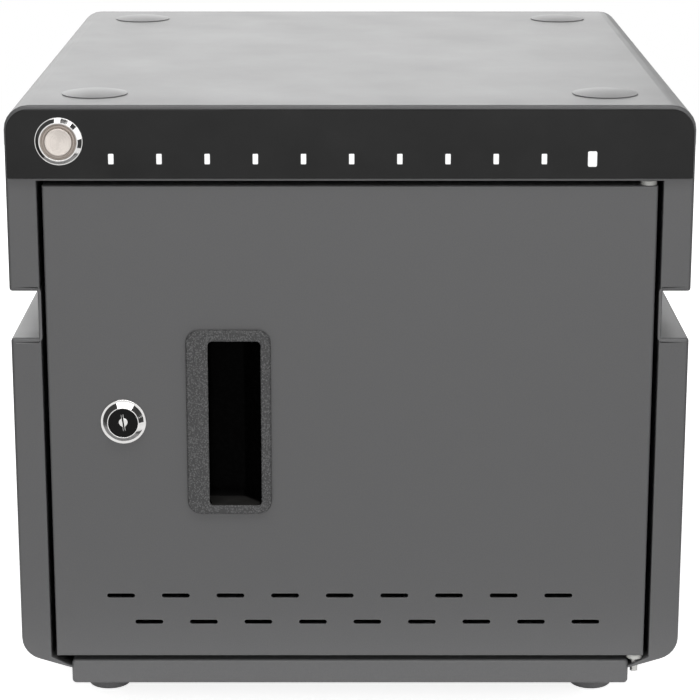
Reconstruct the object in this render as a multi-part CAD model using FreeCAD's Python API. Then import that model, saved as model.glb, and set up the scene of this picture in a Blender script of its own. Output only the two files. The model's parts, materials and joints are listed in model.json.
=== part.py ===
"""Desktop charging cabinet: a sheet steel case on rubber feet with a lockable door, ten device
slots with a charging socket behind each, a lit front strip, a mains inlet and a fan at the back.

Millimetres, +Z up, the door faces -Y. The origin is on the floor, under the middle of the cabinet.
"""
import FreeCAD, Part
import math
import os

V = FreeCAD.Vector

# Overall sizes
WIDTH = 350.0              # across the outer shell
DEPTH = 385.0              # front plane of the shell to the outside of the rear panel
HEIGHT = 327.0             # floor to the top sheet
SHEET = 1.2                # steel sheet of shell, door, base, deck and rear panel

# Shared clearances and cutting allowance
FIT = 0.15                 # round a fixed piece in its hole
RUNNING_FIT = 0.05         # radial, round a turning or sliding piece
OVERRUN = 5.0              # how far a cutting tool runs past what it cuts
SNAP = 0.001               # tolerance for finding an edge by its place

# Outer shell
TOP_RADIUS = 12.5
BOTTOM_RADIUS = 12.3
FOLD_RADIUS = 1.6          # outside radius of the folds round the grip grooves
EDGE_ROUND = 1.1           # rounding of the folded front edges
STRIP_ROUND = 0.9          # rounding of the strips' folds into the doorway
GROOVE_DROP = 96.3         # top sheet down to the grip groove
GROOVE_HEIGHT = 24.8
GROOVE_DEPTH = 14.4
BAND_HEIGHT = 38.6         # closed band above the doorway
BAND_LIP = 20.0            # band sheet folded back over the doorway
REAR_FLANGE_SIDE = 27.0
REAR_FLANGE_TOP = 14.0

# Feet and base
FOOT_HEIGHT = 14.6
FOOT_TOP_RADIUS = 13.0
FOOT_FLOOR_RADIUS = 11.5
FOOT_BORE_RADIUS = 5.6     # counterbore for the screw head
FOOT_BORE_DEPTH = 8.0
FOOT_EDGE_ROUND = 1.0
FOOT_SIDE_INSET = 42.7     # side of the shell to the foot's middle
FOOT_END_INSET = 39.0      # front plane, or rear panel, to the foot's middle
SHELL_RAISE = 12.4         # underside of the base up to the underside of the shell
PLINTH_HEIGHT = 13.4
PLINTH_INSET = 26.2        # side of the shell to the end of the plinth
PLINTH_SETBACK = 1.0
PLINTH_LIP = 16.0
PLINTH_ROUND = 2.2
BASE_GAP = 0.4             # end of the plinth to the edge of the shell's bottom flange
BASE_FLANGE_INSET = 2.0    # edge of the base's flange inside the liner's outer face

# Stacking pads on the top sheet
PAD_RADIUS = 17.0
PAD_RISE = 2.2
PAD_STUD_RADIUS = 4.0
PAD_STUD_LENGTH = 5.0

# Front fascia and its lights
FASCIA_THICK = 2.0
FASCIA_SIDE_INSET = 1.4
FASCIA_TOP_INSET = 1.8
FASCIA_RAISE = 1.5         # edge of the band up to the fascia
FASCIA_EDGE = 0.4
PORT_COUNT = 10
LIGHT_WIDTH = 2.7
LIGHT_HEIGHT = 5.3
LIGHT_ROUND = 0.4
LIGHT_PITCH = 24.35
LIGHT_OFFSET = 26.1        # button's middle to the first light
LIGHT_DROP = 27.0          # top sheet down to the lights' middle
STATUS_WIDTH = 4.6
STATUS_HEIGHT = 7.9
STATUS_ROUND = 0.8
LED_HEIGHT = 1.4
LED_BOARD_SETBACK = 9.0
LED_BOARD_HEIGHT = 15.0
LED_BOARD_MARGIN = 9.0
BOARD_THICK = 1.6
POST_RADIUS = 2.5

# Power button
BUTTON_INSET = 28.0        # side of the shell to the button's middle
BUTTON_DROP = 17.9         # top sheet down to the button's middle
BUTTON_FLANGE_RADIUS = 12.15
BUTTON_FLANGE_RIM = 0.6
BUTTON_LIP_RADIUS = 9.9
BUTTON_LIP_PROUD = 2.6
BUTTON_SEAT_RADIUS = 9.4
BUTTON_SEAT_PROUD = 0.8
BUTTON_RING_PROUD = 2.2
BUTTON_CAP_RADIUS = 7.1
BUTTON_CAP_PROUD = 3.4
BUTTON_CAP_LENGTH = 11.0
BUTTON_CAP_ROUND = 0.6
BUTTON_TRAVEL = 1.5
BUTTON_STOP = 0.3          # left over behind the cap at full travel
BUTTON_BARREL_RADIUS = 9.5
BUTTON_BARREL_LENGTH = 20.0
BUTTON_NUT_FLATS = 23.0
BUTTON_NUT_THICK = 3.5
SWITCH_RADIUS = 9.3
SWITCH_LENGTH = 11.0
TERMINAL_WIDTH = 2.8
TERMINAL_THICK = 0.8
TERMINAL_LENGTH = 6.0

# Door
DOOR_DEPTH = 18.0
DOOR_SIDE_GAP = 2.8
DOOR_TOP_GAP = 2.5
DOOR_FLOOR_GAP = 2.5
DOOR_LIP = 12.0            # width of the sheet folded in round the back of the door
VENT_COUNT = 9
VENT_LENGTH = 14.9
VENT_HEIGHT = 2.5
VENT_PITCH = 29.0
VENT_ROW_SHIFT = 14.7      # lower row to the right of the upper row
VENT_UPPER_RAISE = 34.2    # door's lower edge up to each row
VENT_LOWER_RAISE = 19.4
VENT_CENTRE_SHIFT = 1.9    # both rows' middle to the right of the door's middle

# Door hinge
PIN_RADIUS = 2.0
PIN_HEAD_RADIUS = 3.4
PIN_HEAD_THICK = 1.6
PIN_REACH = 7.0            # how far a pin goes into the door
PIN_BELOW = 6.0            # how far the lower pin stands out under the shell
BUSH_RADIUS = 3.0
BUSH_FLANGE_RADIUS = 4.2
BUSH_FLANGE_THICK = 2.2
BUSH_TAIL = 2.5
BUSH_SIDE_ROOM = 0.2       # bush to the folded side of the door
BUSH_FACE_ROOM = 0.4       # bush to the face sheet of the door

# Lock
LOCK_INSET = 38.7          # door's left edge to the lock's middle
LOCK_RAISE = 130.6         # door's lower edge up to the lock's middle
LOCK_RING_RADIUS = 12.1
LOCK_RIM_OUTER_RADIUS = 11.8
LOCK_RIM_INNER_RADIUS = 10.6
LOCK_RIM_PROUD = 1.0
LOCK_BEAD_RADIUS = 8.2
LOCK_BEAD_PROUD = 3.4
LOCK_BARREL_RADIUS = 9.3
LOCK_NUT_FLATS = 23.0
LOCK_NUT_THICK = 4.0
PLUG_RADIUS = 7.7
PLUG_PROUD = 2.9
PLUG_END_GAP = 0.4         # plug stands this far out of the barrel's end
KEYWAY_WIDTH = 1.9
KEYWAY_HEIGHT = 8.8
KEYWAY_CORE_RADIUS = 2.5
KEYWAY_DEPTH = 13.0
CAM_GAP = 1.6              # door's back to the cam
CAM_THICK = 2.0
CAM_WIDTH = 15.0
CAM_REACH = 46.0
CAM_SQUARE = 7.0
CAM_HEAD_SHARE = 0.9       # rounding of the cam's head, of its half width
CAM_SCREW_LENGTH = 9.0
M4_RADIUS = 2.0
M4_HEAD_RADIUS = 4.0
M4_HEAD_HEIGHT = 2.4

# Recessed door handle
HANDLE_INSET = 71.6        # door's left edge to the handle's flange
HANDLE_RAISE = 80.2        # door's lower edge up to the handle's flange
HANDLE_WIDTH = 44.0
HANDLE_HEIGHT = 99.6
HANDLE_CORNER = 7.0
HANDLE_FLANGE = 2.0
HANDLE_EDGE_ROUND = 1.2
HANDLE_OVERLAP = 2.6       # flange past the cut-out in the door
HANDLE_DEPTH = 15.5        # door face to the back of the cup
HANDLE_WALL = 1.6
POCKET_LEFT = 11.6         # flange's left edge to the mouth
POCKET_RIGHT = 5.3
POCKET_FLOOR = 4.9
POCKET_TOP = 6.0
POCKET_CORNER = 2.2
POCKET_TAPER = 8.5         # how far the right wall leans in
POCKET_ROOF = 2.2          # door face back to the hidden part of the pocket

# Device bay
LINER_SHEET = 1.0
LINER_GAP = 1.6            # liner to the groove's inner wall
LINER_CLEARANCE = 2.6      # cam to the liner's front edge
REAR_ROOM = 35.0           # bay's back to the outside of the rear panel
DECK_SETBACK = 14.0
DECK_HOLE_WIDTH = 40.0
DECK_HOLE_DEPTH = 16.0
DIVIDER_THICK = 3.0
DIVIDER_HEIGHT = 215.0
DIVIDER_FRONT_GAP = 12.0   # liner's front edge to the dividers
DIVIDER_NOSE = 60.0        # radius of the upper front corner
DIVIDER_CORNER = 6.0
DIVIDER_SLOT_WIDTH = 18.0
DIVIDER_SLOT_HEIGHT = 110.0
DIVIDER_SLOT_SHARES = (0.26, 0.42, 0.58, 0.74)
DIVIDER_SLOT_END_SHARE = 0.98
RAIL_WIDTH = 16.0
RAIL_HEIGHT = 11.0
RAIL_FLOOR = 3.0           # under the dividers
RAIL_SIDE_GAP = 2.0
RAIL_SHARES = (0.15, 0.80)
COMB_DEPTH = 11.0
COMB_HEIGHT = 12.0
COMB_SLOT = 8.0
COMB_DROP = 22.0           # dividers' top down to the comb's top
BAY_VENT_LENGTH = 22.0
BAY_VENT_HEIGHT = 4.0
BAY_VENT_PITCH = 9.0
BAY_VENT_ROWS = 5
BAY_VENT_DROP = 96.0       # deck down to the upper row

# Charging sockets and their board
PORT_DROP = 26.0           # deck down to the sockets' middle
PORT_WIDTH = 9.0
PORT_HEIGHT = 3.3
PORT_ROUND = 1.6
PORT_SKIN = 0.3
PORT_CAVITY = 6.2
PORT_TONGUE_WIDTH = 6.6
PORT_TONGUE_THICK = 0.7
PORT_TONGUE_SHORT = 0.8
PORT_PROUD = 0.6
BOARD_STAND = 6.0
BOARD_HEIGHT = 46.0
BOARD_DROP = 4.0           # deck down to the board's upper edge
BOARD_SIDE_GAP = 4.0
BOARD_POST_INSET = 6.0
COIL_SIZE = 10.0
COIL_HEIGHT = 5.0

# Power supply
PSU_HEIGHT = 98.0
PSU_DEPTH = 26.0
PSU_WALL = 0.9
PSU_SIDE_GAP = 6.0
PSU_FAN_GAP = 20.8         # supply to the frame of the fan
PSU_RAISE = 30.0           # bay floor up to the supply
PSU_BOARD_INSET = 3.0
PSU_BOARD_STAND = 4.0
TRANSFORMER_LENGTH = 42.0
TRANSFORMER_HEIGHT = 36.0
TRANSFORMER_DEPTH = 17.0
PSU_VENT_COUNT = 12
PSU_VENT_WIDTH = 3.0
PSU_VENT_HEIGHT = 40.0

# Rear panel, fan and mains inlet
PANEL_INSET = 0.6          # panel's edge inside the shell's outline
M3_RADIUS = 1.5
M3_HEAD_RADIUS = 2.8
M3_HEAD_HEIGHT = 1.9
PANEL_SCREW_LENGTH = 6.0
PANEL_SCREW_INSET = 8.0
PANEL_SCREW_SHARES = (0.13, 0.45, 0.85)
PANEL_VENT_LENGTH = 26.0
PANEL_VENT_HEIGHT = 3.0
PANEL_VENT_PITCH = 8.0
PANEL_VENT_ROWS = 6
PANEL_VENT_COLUMNS = 4
PANEL_VENT_GAP = 8.0
PANEL_VENT_DROP = 40.0
FAN_SIZE = 80.0
FAN_DEPTH = 25.0
FAN_CORNER = 5.0
FAN_BORE_RADIUS = 38.0
FAN_HOLE_PITCH = 71.5
FAN_INSET = 85.0           # side of the shell to the fan's middle
FAN_RAISE = 103.0          # underside of the shell up to the fan's middle
FAN_SPIDER = 3.0
FAN_STRUT_WIDTH = 5.0
FAN_HUB_RADIUS = 17.0
FAN_SHAFT_RADIUS = 1.5
FAN_SHAFT_LENGTH = 12.0
FAN_END_GAP = 0.6
FAN_TIP_GAP = 1.2
FAN_BACK_GAP = 2.0
FAN_BLADES = 7
BLADE_THICK = 1.6
BLADE_CHORD = 20.0
BLADE_ANGLE = 40.0
GUARD_WIRE_RADIUS = 0.9
GUARD_RINGS = 4
GUARD_FIRST_RADIUS = 8.0
GUARD_EAR_RADIUS = 3.1
GUARD_LIFT_SHARE = 1.5     # rings behind the spokes, of the wire's radius
FAN_SCREW_LENGTH = 14.0
INLET_WIDTH = 27.4
INLET_HEIGHT = 19.8
INLET_BEVEL = 4.0
INLET_DEPTH = 21.0
INLET_WALL = 1.4
INLET_CAVITY = 16.0
INLET_FLANGE_WIDTH = 49.0
INLET_FLANGE_HEIGHT = 24.0
INLET_FLANGE_THICK = 2.2
INLET_FLANGE_CORNER = 3.0
INLET_SCREW_PITCH = 40.0
INLET_RAISE = 33.0         # underside of the shell up to the inlet's middle
BLADE_PIN_WIDTH = 2.0
BLADE_PIN_HEIGHT = 4.0
BLADE_PIN_LENGTH = 12.0
BLADE_PIN_PITCH = 7.0
BLADE_PIN_STEP = 2.0       # earth pin above the other two
INLET_SCREW_LENGTH = 8.0

# Places worked out from the sizes, left to right
half_width = WIDTH / 2
groove_wall = half_width - GROOVE_DEPTH
doorway = groove_wall - SHEET
door_half = doorway - DOOR_SIDE_GAP
hinge_x = door_half - SHEET - BUSH_RADIUS - BUSH_SIDE_ROOM
plinth_half = half_width - PLINTH_INSET
liner_half = doorway - LINER_GAP
bay_half = liner_half - LINER_SHEET
slot_pitch = 2 * bay_half / PORT_COUNT
foot_x = half_width - FOOT_SIDE_INSET
button_x = BUTTON_INSET - half_width
light_x = button_x + LIGHT_OFFSET
lock_x = LOCK_INSET - door_half
fan_x = half_width - FAN_INSET

# Places worked out from the sizes, front to back
front_proud = FASCIA_THICK + BUTTON_CAP_PROUD
rear_proud = 2 * GUARD_WIRE_RADIUS + M4_HEAD_HEIGHT
front = (front_proud - rear_proud - DEPTH) / 2
back = front + DEPTH
panel_front = back - SHEET
fascia_front = front - FASCIA_THICK
door_back = front + DOOR_DEPTH
hinge_y = front + SHEET + BUSH_RADIUS + BUSH_FACE_ROOM
cam_front = door_back + CAM_GAP
cam_back = cam_front + CAM_THICK
liner_front = cam_back + LINER_CLEARANCE
bay_back = back - REAR_ROOM
bay_wall_back = bay_back + SHEET
board_front = bay_wall_back + BOARD_STAND
foot_ys = (front + FOOT_END_INSET, back - FOOT_END_INSET)
cap_back = fascia_front - BUTTON_CAP_PROUD + BUTTON_CAP_LENGTH
switch_front = cap_back + BUTTON_TRAVEL + BUTTON_STOP
barrel_back = fascia_front + BUTTON_BARREL_LENGTH

# Places worked out from the sizes, floor to top
shell_z = FOOT_HEIGHT + SHELL_RAISE
groove_top = HEIGHT - GROOVE_DROP
groove_floor = groove_top - GROOVE_HEIGHT
band_z = HEIGHT - BAND_HEIGHT
deck_z = band_z + SHEET
liner_z = shell_z + 2 * SHEET
bay_floor = liner_z + LINER_SHEET
door_top = band_z - DOOR_TOP_GAP
door_floor = shell_z + SHEET + DOOR_FLOOR_GAP
button_z = HEIGHT - BUTTON_DROP
light_z = HEIGHT - LIGHT_DROP
lock_z = door_floor + LOCK_RAISE
port_z = deck_z - PORT_DROP
divider_floor = bay_floor + RAIL_FLOOR
divider_top = divider_floor + DIVIDER_HEIGHT
fan_z = shell_z + FAN_RAISE
inlet_z = shell_z + INLET_RAISE
light_xs = [light_x + LIGHT_PITCH * i for i in range(PORT_COUNT)]
status_x = light_x + LIGHT_PITCH * PORT_COUNT
slot_xs = [slot_pitch * (i + 0.5) - bay_half for i in range(PORT_COUNT)]
divider_xs = [slot_pitch * (i + 1) - bay_half for i in range(PORT_COUNT - 1)]


# Shapes that several pieces share

def block(x0, x1, y0, y1, z0, z1):
    """Box between two opposite corners."""
    return Part.makeBox(x1 - x0, y1 - y0, z1 - z0, V(x0, y0, z0))


def rod_y(radius, x, z, y0, y1):
    """Cylinder along Y."""
    return Part.makeCylinder(radius, y1 - y0, V(x, y0, z), V(0, 1, 0))


def rod_z(radius, x, y, z0, z1):
    """Cylinder along Z."""
    return Part.makeCylinder(radius, z1 - z0, V(x, y, z0))


def outline(corners, radii, place):
    """Closed wire through flat corners, each rounded by its radius; place lifts a point to 3-D."""
    starts, middles, ends = [], [], []
    for i, corner in enumerate(corners):
        here = V(corner[0], corner[1], 0)
        before = V(*corners[i - 1], 0) - here
        after = V(*corners[(i + 1) % len(corners)], 0) - here
        before.normalize()
        after.normalize()
        half_angle = before.getAngle(after) / 2
        inward = (before + after).normalize()
        tangent = radii[i] / math.tan(half_angle)
        starts.append(here + before * tangent)
        ends.append(here + after * tangent)
        middles.append(here + inward * (radii[i] / math.sin(half_angle) - radii[i]))
    lift = lambda point: place(point.x, point.y)
    edges = []
    for i in range(len(corners)):
        edges.append(Part.makeLine(lift(ends[i - 1]), lift(starts[i])))
        if radii[i] > 0:
            edges.append(Part.Arc(lift(starts[i]), lift(middles[i]), lift(ends[i])).toShape())
    return Part.Wire(edges)


def prism_y(corners, radii, y0, y1):
    """Rounded outline in X and Z, carried along Y."""
    wire = outline(corners, radii, lambda x, z: V(x, y0, z))
    return Part.Face(wire).extrude(V(0, y1 - y0, 0))


def prism_x(corners, radii, x0, x1):
    """Rounded outline in Y and Z, carried along X."""
    wire = outline(corners, radii, lambda y, z: V(x0, y, z))
    return Part.Face(wire).extrude(V(x1 - x0, 0, 0))


def rectangle(a0, a1, b0, b1):
    """Four corners of an upright rectangle."""
    return [(a0, b0), (a1, b0), (a1, b1), (a0, b1)]


def plate_y(x, z, width, height, radius, y0, y1):
    """Plate with rounded corners, centred on (x, z), from y0 to y1."""
    corners = rectangle(x - width / 2, x + width / 2, z - height / 2, z + height / 2)
    return prism_y(corners, [radius] * len(corners), y0, y1)


def slot_y(x, z, length, height, y0, y1):
    """Cutter for a slot with round ends along X."""
    straight = (length - height) / 2
    body = block(x - straight, x + straight, y0, y1, z - height / 2, z + height / 2)
    ends = [rod_y(height / 2, x + side * straight, z, y0, y1) for side in (-1, 1)]
    return body.multiFuse(ends)


def turned_y(profile, x, z):
    """Solid of revolution about a line along Y; the profile is (radius, y) points."""
    points = [V(x + radius, y, z) for radius, y in profile]
    face = Part.Face(Part.makePolygon(points + points[:1]))
    return face.revolve(V(x, 0, z), V(0, 1, 0), 360)


def turned_z(profile, x, y):
    """Solid of revolution about a line along Z; the profile is (radius, z) points."""
    points = [V(x + radius, y, z) for radius, z in profile]
    face = Part.Face(Part.makePolygon(points + points[:1]))
    return face.revolve(V(x, y, 0), V(0, 0, 1), 360)


def hexagon_y(flats, x, z, y0, y1):
    """Hexagonal prism along Y, flats apart as given."""
    corner = flats / math.sqrt(3)
    turns = [math.radians(60 * i) for i in range(6)]
    corners = [(x + corner * math.cos(t), z + corner * math.sin(t)) for t in turns]
    return prism_y(corners, [0] * len(corners), y0, y1)


def rounded(shape, radius, chosen):
    """Fillet of the edges whose bounding boxes are chosen."""
    return shape.makeFillet(radius, [edge for edge in shape.Edges if chosen(edge.BoundBox)])


def screw(radius, length, head_radius, head_height, seat, direction):
    """Pan head screw with a cross recess: seat is under the head, direction runs down the shank."""
    head = Part.makeCylinder(head_radius, head_height, V(0, 0, -head_height))
    crown = head_height / 2
    head = rounded(head, crown, lambda box: abs(box.ZMax + head_height) < SNAP)
    arm, blade = head_radius / 2, head_radius / 8
    top = -head_height
    for long, wide in ((arm, blade), (blade, arm)):
        head = head.cut(block(-long, long, -wide, wide, top - OVERRUN, top + crown))
    solid = head.fuse(Part.makeCylinder(radius, length))
    solid.Placement = FreeCAD.Placement(V(*seat), FreeCAD.Rotation(V(0, 0, 1), V(*direction)))
    return solid.removeSplitter()


def shell_outline_prism(inset, y0, y1):
    """Case outline with both grip grooves, drawn in by inset, from y0 to y1."""
    side, wall = half_width - inset, groove_wall - inset
    right = [(side, shell_z + inset), (side, groove_floor - inset), (wall, groove_floor - inset),
             (wall, groove_top + inset), (side, groove_top + inset), (side, HEIGHT - inset)]
    outer_fold = FOLD_RADIUS - inset
    inner_fold = FOLD_RADIUS - SHEET + inset
    right_radii = [BOTTOM_RADIUS - inset, outer_fold, inner_fold, inner_fold, outer_fold,
                   TOP_RADIUS - inset]
    corners = right + [(-x, z) for x, z in reversed(right)]
    return prism_y(corners, right_radii + right_radii[::-1], y0, y1)


# Case

def panel_screw_places():
    """Screws along both sides and the top of the rear panel, as (x, z)."""
    side = half_width - PANEL_SCREW_INSET
    rise = HEIGHT - shell_z
    places = [(sign * side, shell_z + rise * share) for sign in (-1, 1) for share in PANEL_SCREW_SHARES]
    top = HEIGHT - REAR_FLANGE_TOP / 2
    return places + [(x, top) for x in (-foot_x, 0, foot_x)]


def pad_places():
    """Stacking pads and feet stand above each other, as (x, y)."""
    return [(sign * foot_x, y) for y in foot_ys for sign in (-1, 1)]


def light_cutters(gap, y0, y1):
    """The row of light windows, widened by gap, as cutters or as the light pipes themselves."""
    row = [plate_y(x, light_z, LIGHT_WIDTH + gap, LIGHT_HEIGHT + gap, LIGHT_ROUND, y0, y1)
           for x in light_xs]
    return row + [plate_y(status_x, light_z, STATUS_WIDTH + gap, STATUS_HEIGHT + gap, STATUS_ROUND, y0, y1)]


def strip_fold_cutter(sign, z0, z1):
    """Corner between a square edge and the round fold of a front strip into the doorway."""
    middle = sign * (doorway + STRIP_ROUND)
    x0, x1 = sorted((sign * doorway, middle))
    corner = block(x0, x1, front, front + STRIP_ROUND, z0, z1)
    return corner.cut(rod_z(STRIP_ROUND, middle, front + STRIP_ROUND, z0, z1))


def make_outer_shell():
    """One sheet wrapped over top and sides, with front strips, rear flange and bottom flanges."""
    solid = shell_outline_prism(0, front, panel_front)
    solid = rounded(solid, EDGE_ROUND, lambda box: box.YMax < front + SNAP)
    solid = solid.cut(shell_outline_prism(SHEET, front + SHEET, panel_front - SHEET))
    under = shell_z - OVERRUN
    flange_edge = plinth_half + BASE_GAP
    opening = half_width - REAR_FLANGE_SIDE
    inside = shell_z + SHEET
    cutters = [
        block(-doorway, doorway, front - OVERRUN, front + SHEET, under, band_z),
        block(-flange_edge, flange_edge, front - OVERRUN, back, under, inside),
        block(-opening, opening, panel_front - SHEET, back, under, HEIGHT - REAR_FLANGE_TOP),
    ]
    solid = solid.cut(Part.makeCompound(cutters))
    lips = [block(-groove_wall, groove_wall, front + SHEET, front + BAND_LIP, band_z, deck_z)]
    for x0 in (doorway, -groove_wall):
        lips.append(block(x0, x0 + SHEET, front + SHEET, door_back, inside, band_z))
    solid = solid.multiFuse(lips).removeSplitter()
    solid = solid.cut(Part.makeCompound([strip_fold_cutter(sign, under, band_z) for sign in (-1, 1)]))
    holes = light_cutters(2 * FIT, front - OVERRUN, front + SHEET + OVERRUN)
    holes.append(rod_y(BUTTON_BARREL_RADIUS + FIT, button_x, button_z, front - OVERRUN, front + OVERRUN))
    holes += [rod_z(PAD_STUD_RADIUS + FIT, x, y, HEIGHT - OVERRUN, HEIGHT + OVERRUN)
              for x, y in pad_places()]
    holes += [rod_y(M3_RADIUS + FIT, x, z, panel_front - OVERRUN, back) for x, z in panel_screw_places()]
    holes.append(rod_z(PIN_RADIUS, hinge_x, hinge_y, under, shell_z + OVERRUN))
    holes.append(rod_z(PIN_RADIUS, hinge_x, hinge_y, band_z - OVERRUN, deck_z + OVERRUN))
    return solid.cut(Part.makeCompound(holes))


def make_base_pan():
    """Shallow tray that shows as the plinth, with flanges that lie on the shell's bottom flanges."""
    y0, y1 = front + PLINTH_SETBACK, panel_front
    z0, z1 = FOOT_HEIGHT, FOOT_HEIGHT + PLINTH_HEIGHT
    tray = block(-plinth_half, plinth_half, y0, y1, z0, z1)
    tray = rounded(tray, PLINTH_ROUND, lambda box: box.ZMax < z0 + SNAP and box.XLength < SNAP)
    inner = plinth_half - SHEET
    tray = tray.cut(block(-inner, inner, y0 + SHEET, y1 - SHEET, z0 + SHEET, z1 - SHEET))
    tray = tray.cut(block(-inner, inner, y0 + PLINTH_LIP, y1 - SHEET, z0 + SHEET, z1 + OVERRUN))
    flange_z = shell_z + SHEET
    reach = liner_half - BASE_FLANGE_INSET
    for sign in (-1, 1):
        x0, x1 = sorted((sign * inner, sign * reach))
        tray = tray.fuse(block(x0, x1, liner_front, y1 - SHEET, flange_z, liner_z))
        x0, x1 = sorted((sign * inner, sign * plinth_half))
        tray = tray.fuse(block(x0, x1, liner_front, y1 - SHEET, z1 - SHEET, flange_z))
    holes = [rod_z(M4_RADIUS + FIT, x, y, z0 - OVERRUN, z0 + OVERRUN) for x, y in pad_places()]
    return tray.removeSplitter().cut(Part.makeCompound(holes))


def make_foot(x, y):
    """Tapered rubber foot with a counterbore for its screw."""
    solid = Part.makeCone(FOOT_FLOOR_RADIUS, FOOT_TOP_RADIUS, FOOT_HEIGHT, V(x, y, 0))
    solid = rounded(solid, FOOT_EDGE_ROUND, lambda box: box.ZMax < SNAP and box.XLength > SNAP)
    solid = solid.cut(rod_z(FOOT_BORE_RADIUS, x, y, -OVERRUN, FOOT_BORE_DEPTH))
    return solid.cut(rod_z(M4_RADIUS + FIT, x, y, 0, FOOT_HEIGHT + OVERRUN))


def make_foot_screws():
    """One screw up through each foot into the base."""
    length = FOOT_HEIGHT - FOOT_BORE_DEPTH + PLINTH_HEIGHT / 2
    return Part.makeCompound([
        screw(M4_RADIUS, length, M4_HEAD_RADIUS, M4_HEAD_HEIGHT, (x, y, FOOT_BORE_DEPTH), (0, 0, 1))
        for x, y in pad_places()])


def make_stacking_pad(x, y):
    """Low domed disc pressed into the top sheet by its stud."""
    rim, crown = V(x + PAD_RADIUS, y, HEIGHT), V(x, y, HEIGHT + PAD_RISE)
    ball = (PAD_RADIUS ** 2 + PAD_RISE ** 2) / (2 * PAD_RISE)
    middle_angle = math.asin(PAD_RADIUS / ball) / 2
    middle = V(x + ball * math.sin(middle_angle), y,
               HEIGHT + PAD_RISE - ball * (1 - math.cos(middle_angle)))
    base = V(x, y, HEIGHT)
    wire = Part.Wire([Part.makeLine(base, rim), Part.Arc(rim, middle, crown).toShape(),
                      Part.makeLine(crown, base)])
    dome = Part.Face(wire).revolve(base, V(0, 0, 1), 360)
    stud = rod_z(PAD_STUD_RADIUS, x, y, HEIGHT - PAD_STUD_LENGTH, HEIGHT + PAD_RISE / 2)
    return dome.fuse(stud).removeSplitter()


def make_front_fascia():
    """Glossy strip over the band, with a window for each light and the button's hole."""
    side, top = half_width - FASCIA_SIDE_INSET, HEIGHT - FASCIA_TOP_INSET
    corner = TOP_RADIUS - FASCIA_SIDE_INSET
    corners = rectangle(-side, side, band_z + FASCIA_RAISE, top)
    radii = [FASCIA_EDGE, FASCIA_EDGE, corner, corner]
    solid = prism_y(corners, radii, fascia_front, front)
    solid = solid.makeChamfer(FASCIA_EDGE / 2, [edge for edge in solid.Edges
                                                if edge.BoundBox.YMax < fascia_front + SNAP])
    holes = light_cutters(FIT, fascia_front - OVERRUN, front + OVERRUN)
    holes.append(rod_y(BUTTON_BARREL_RADIUS + FIT, button_x, button_z, fascia_front - OVERRUN, front))
    return solid.cut(Part.makeCompound(holes))


# Front lights

def led_board_front():
    """Front face of the light board."""
    return front + LED_BOARD_SETBACK


def make_light_pipes():
    """Clear pipes from the light board to the fascia's windows."""
    return Part.makeCompound(light_cutters(0, fascia_front, led_board_front() - LED_HEIGHT))


def make_board_leds():
    """One surface mount light behind each pipe."""
    y0, y1 = led_board_front() - LED_HEIGHT, led_board_front()
    size = LIGHT_WIDTH
    return Part.makeCompound([plate_y(x, light_z, size, size, LIGHT_ROUND, y0, y1)
                              for x in light_xs + [status_x]])


def light_post_xs():
    """Posts of the light board stand between the lights."""
    return [light_x + LIGHT_PITCH * (i + 0.5) for i in (0, PORT_COUNT // 2 - 1, PORT_COUNT - 1)]


def make_led_board():
    """Circuit board that carries the front lights."""
    x0, x1 = light_x - LED_BOARD_MARGIN, status_x + LED_BOARD_MARGIN
    y0 = led_board_front()
    half = LED_BOARD_HEIGHT / 2
    return block(x0, x1, y0, y0 + BOARD_THICK, light_z - half, light_z + half)


def make_led_board_posts():
    """Posts that hold the light board off the band."""
    return Part.makeCompound([rod_y(POST_RADIUS, x, light_z, front + SHEET, led_board_front())
                              for x in light_post_xs()])


# Power button

def make_button_bezel():
    """Bevelled metal ring with a barrel through the fascia."""
    bore = BUTTON_CAP_RADIUS + RUNNING_FIT
    rim, lip = fascia_front - BUTTON_FLANGE_RIM, fascia_front - BUTTON_LIP_PROUD
    seat = fascia_front - BUTTON_SEAT_PROUD
    return turned_y([
        (bore, barrel_back), (BUTTON_BARREL_RADIUS, barrel_back), (BUTTON_BARREL_RADIUS, fascia_front),
        (BUTTON_FLANGE_RADIUS, fascia_front), (BUTTON_FLANGE_RADIUS, rim), (BUTTON_LIP_RADIUS, lip),
        (BUTTON_SEAT_RADIUS, lip), (BUTTON_SEAT_RADIUS, seat), (bore, seat)], button_x, button_z)


def make_button_light_ring():
    """Frosted ring that glows round the cap."""
    y0, y1 = fascia_front - BUTTON_RING_PROUD, fascia_front - BUTTON_SEAT_PROUD
    ring = rod_y(BUTTON_SEAT_RADIUS - FIT, button_x, button_z, y0, y1)
    bore = BUTTON_CAP_RADIUS + RUNNING_FIT
    return ring.cut(rod_y(bore, button_x, button_z, y0 - OVERRUN, y1 + OVERRUN))


def make_button_cap():
    """Cap that slides in the bezel's bore."""
    y0 = fascia_front - BUTTON_CAP_PROUD
    solid = rod_y(BUTTON_CAP_RADIUS, button_x, button_z, y0, cap_back)
    return rounded(solid, BUTTON_CAP_ROUND, lambda box: box.YMax < y0 + SNAP)


def make_button_nut():
    """Nut that clamps the button behind the band."""
    y0 = front + SHEET
    solid = hexagon_y(BUTTON_NUT_FLATS, button_x, button_z, y0, y0 + BUTTON_NUT_THICK)
    return solid.cut(rod_y(BUTTON_BARREL_RADIUS + FIT, button_x, button_z, y0 - OVERRUN, y0 + OVERRUN))


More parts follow.
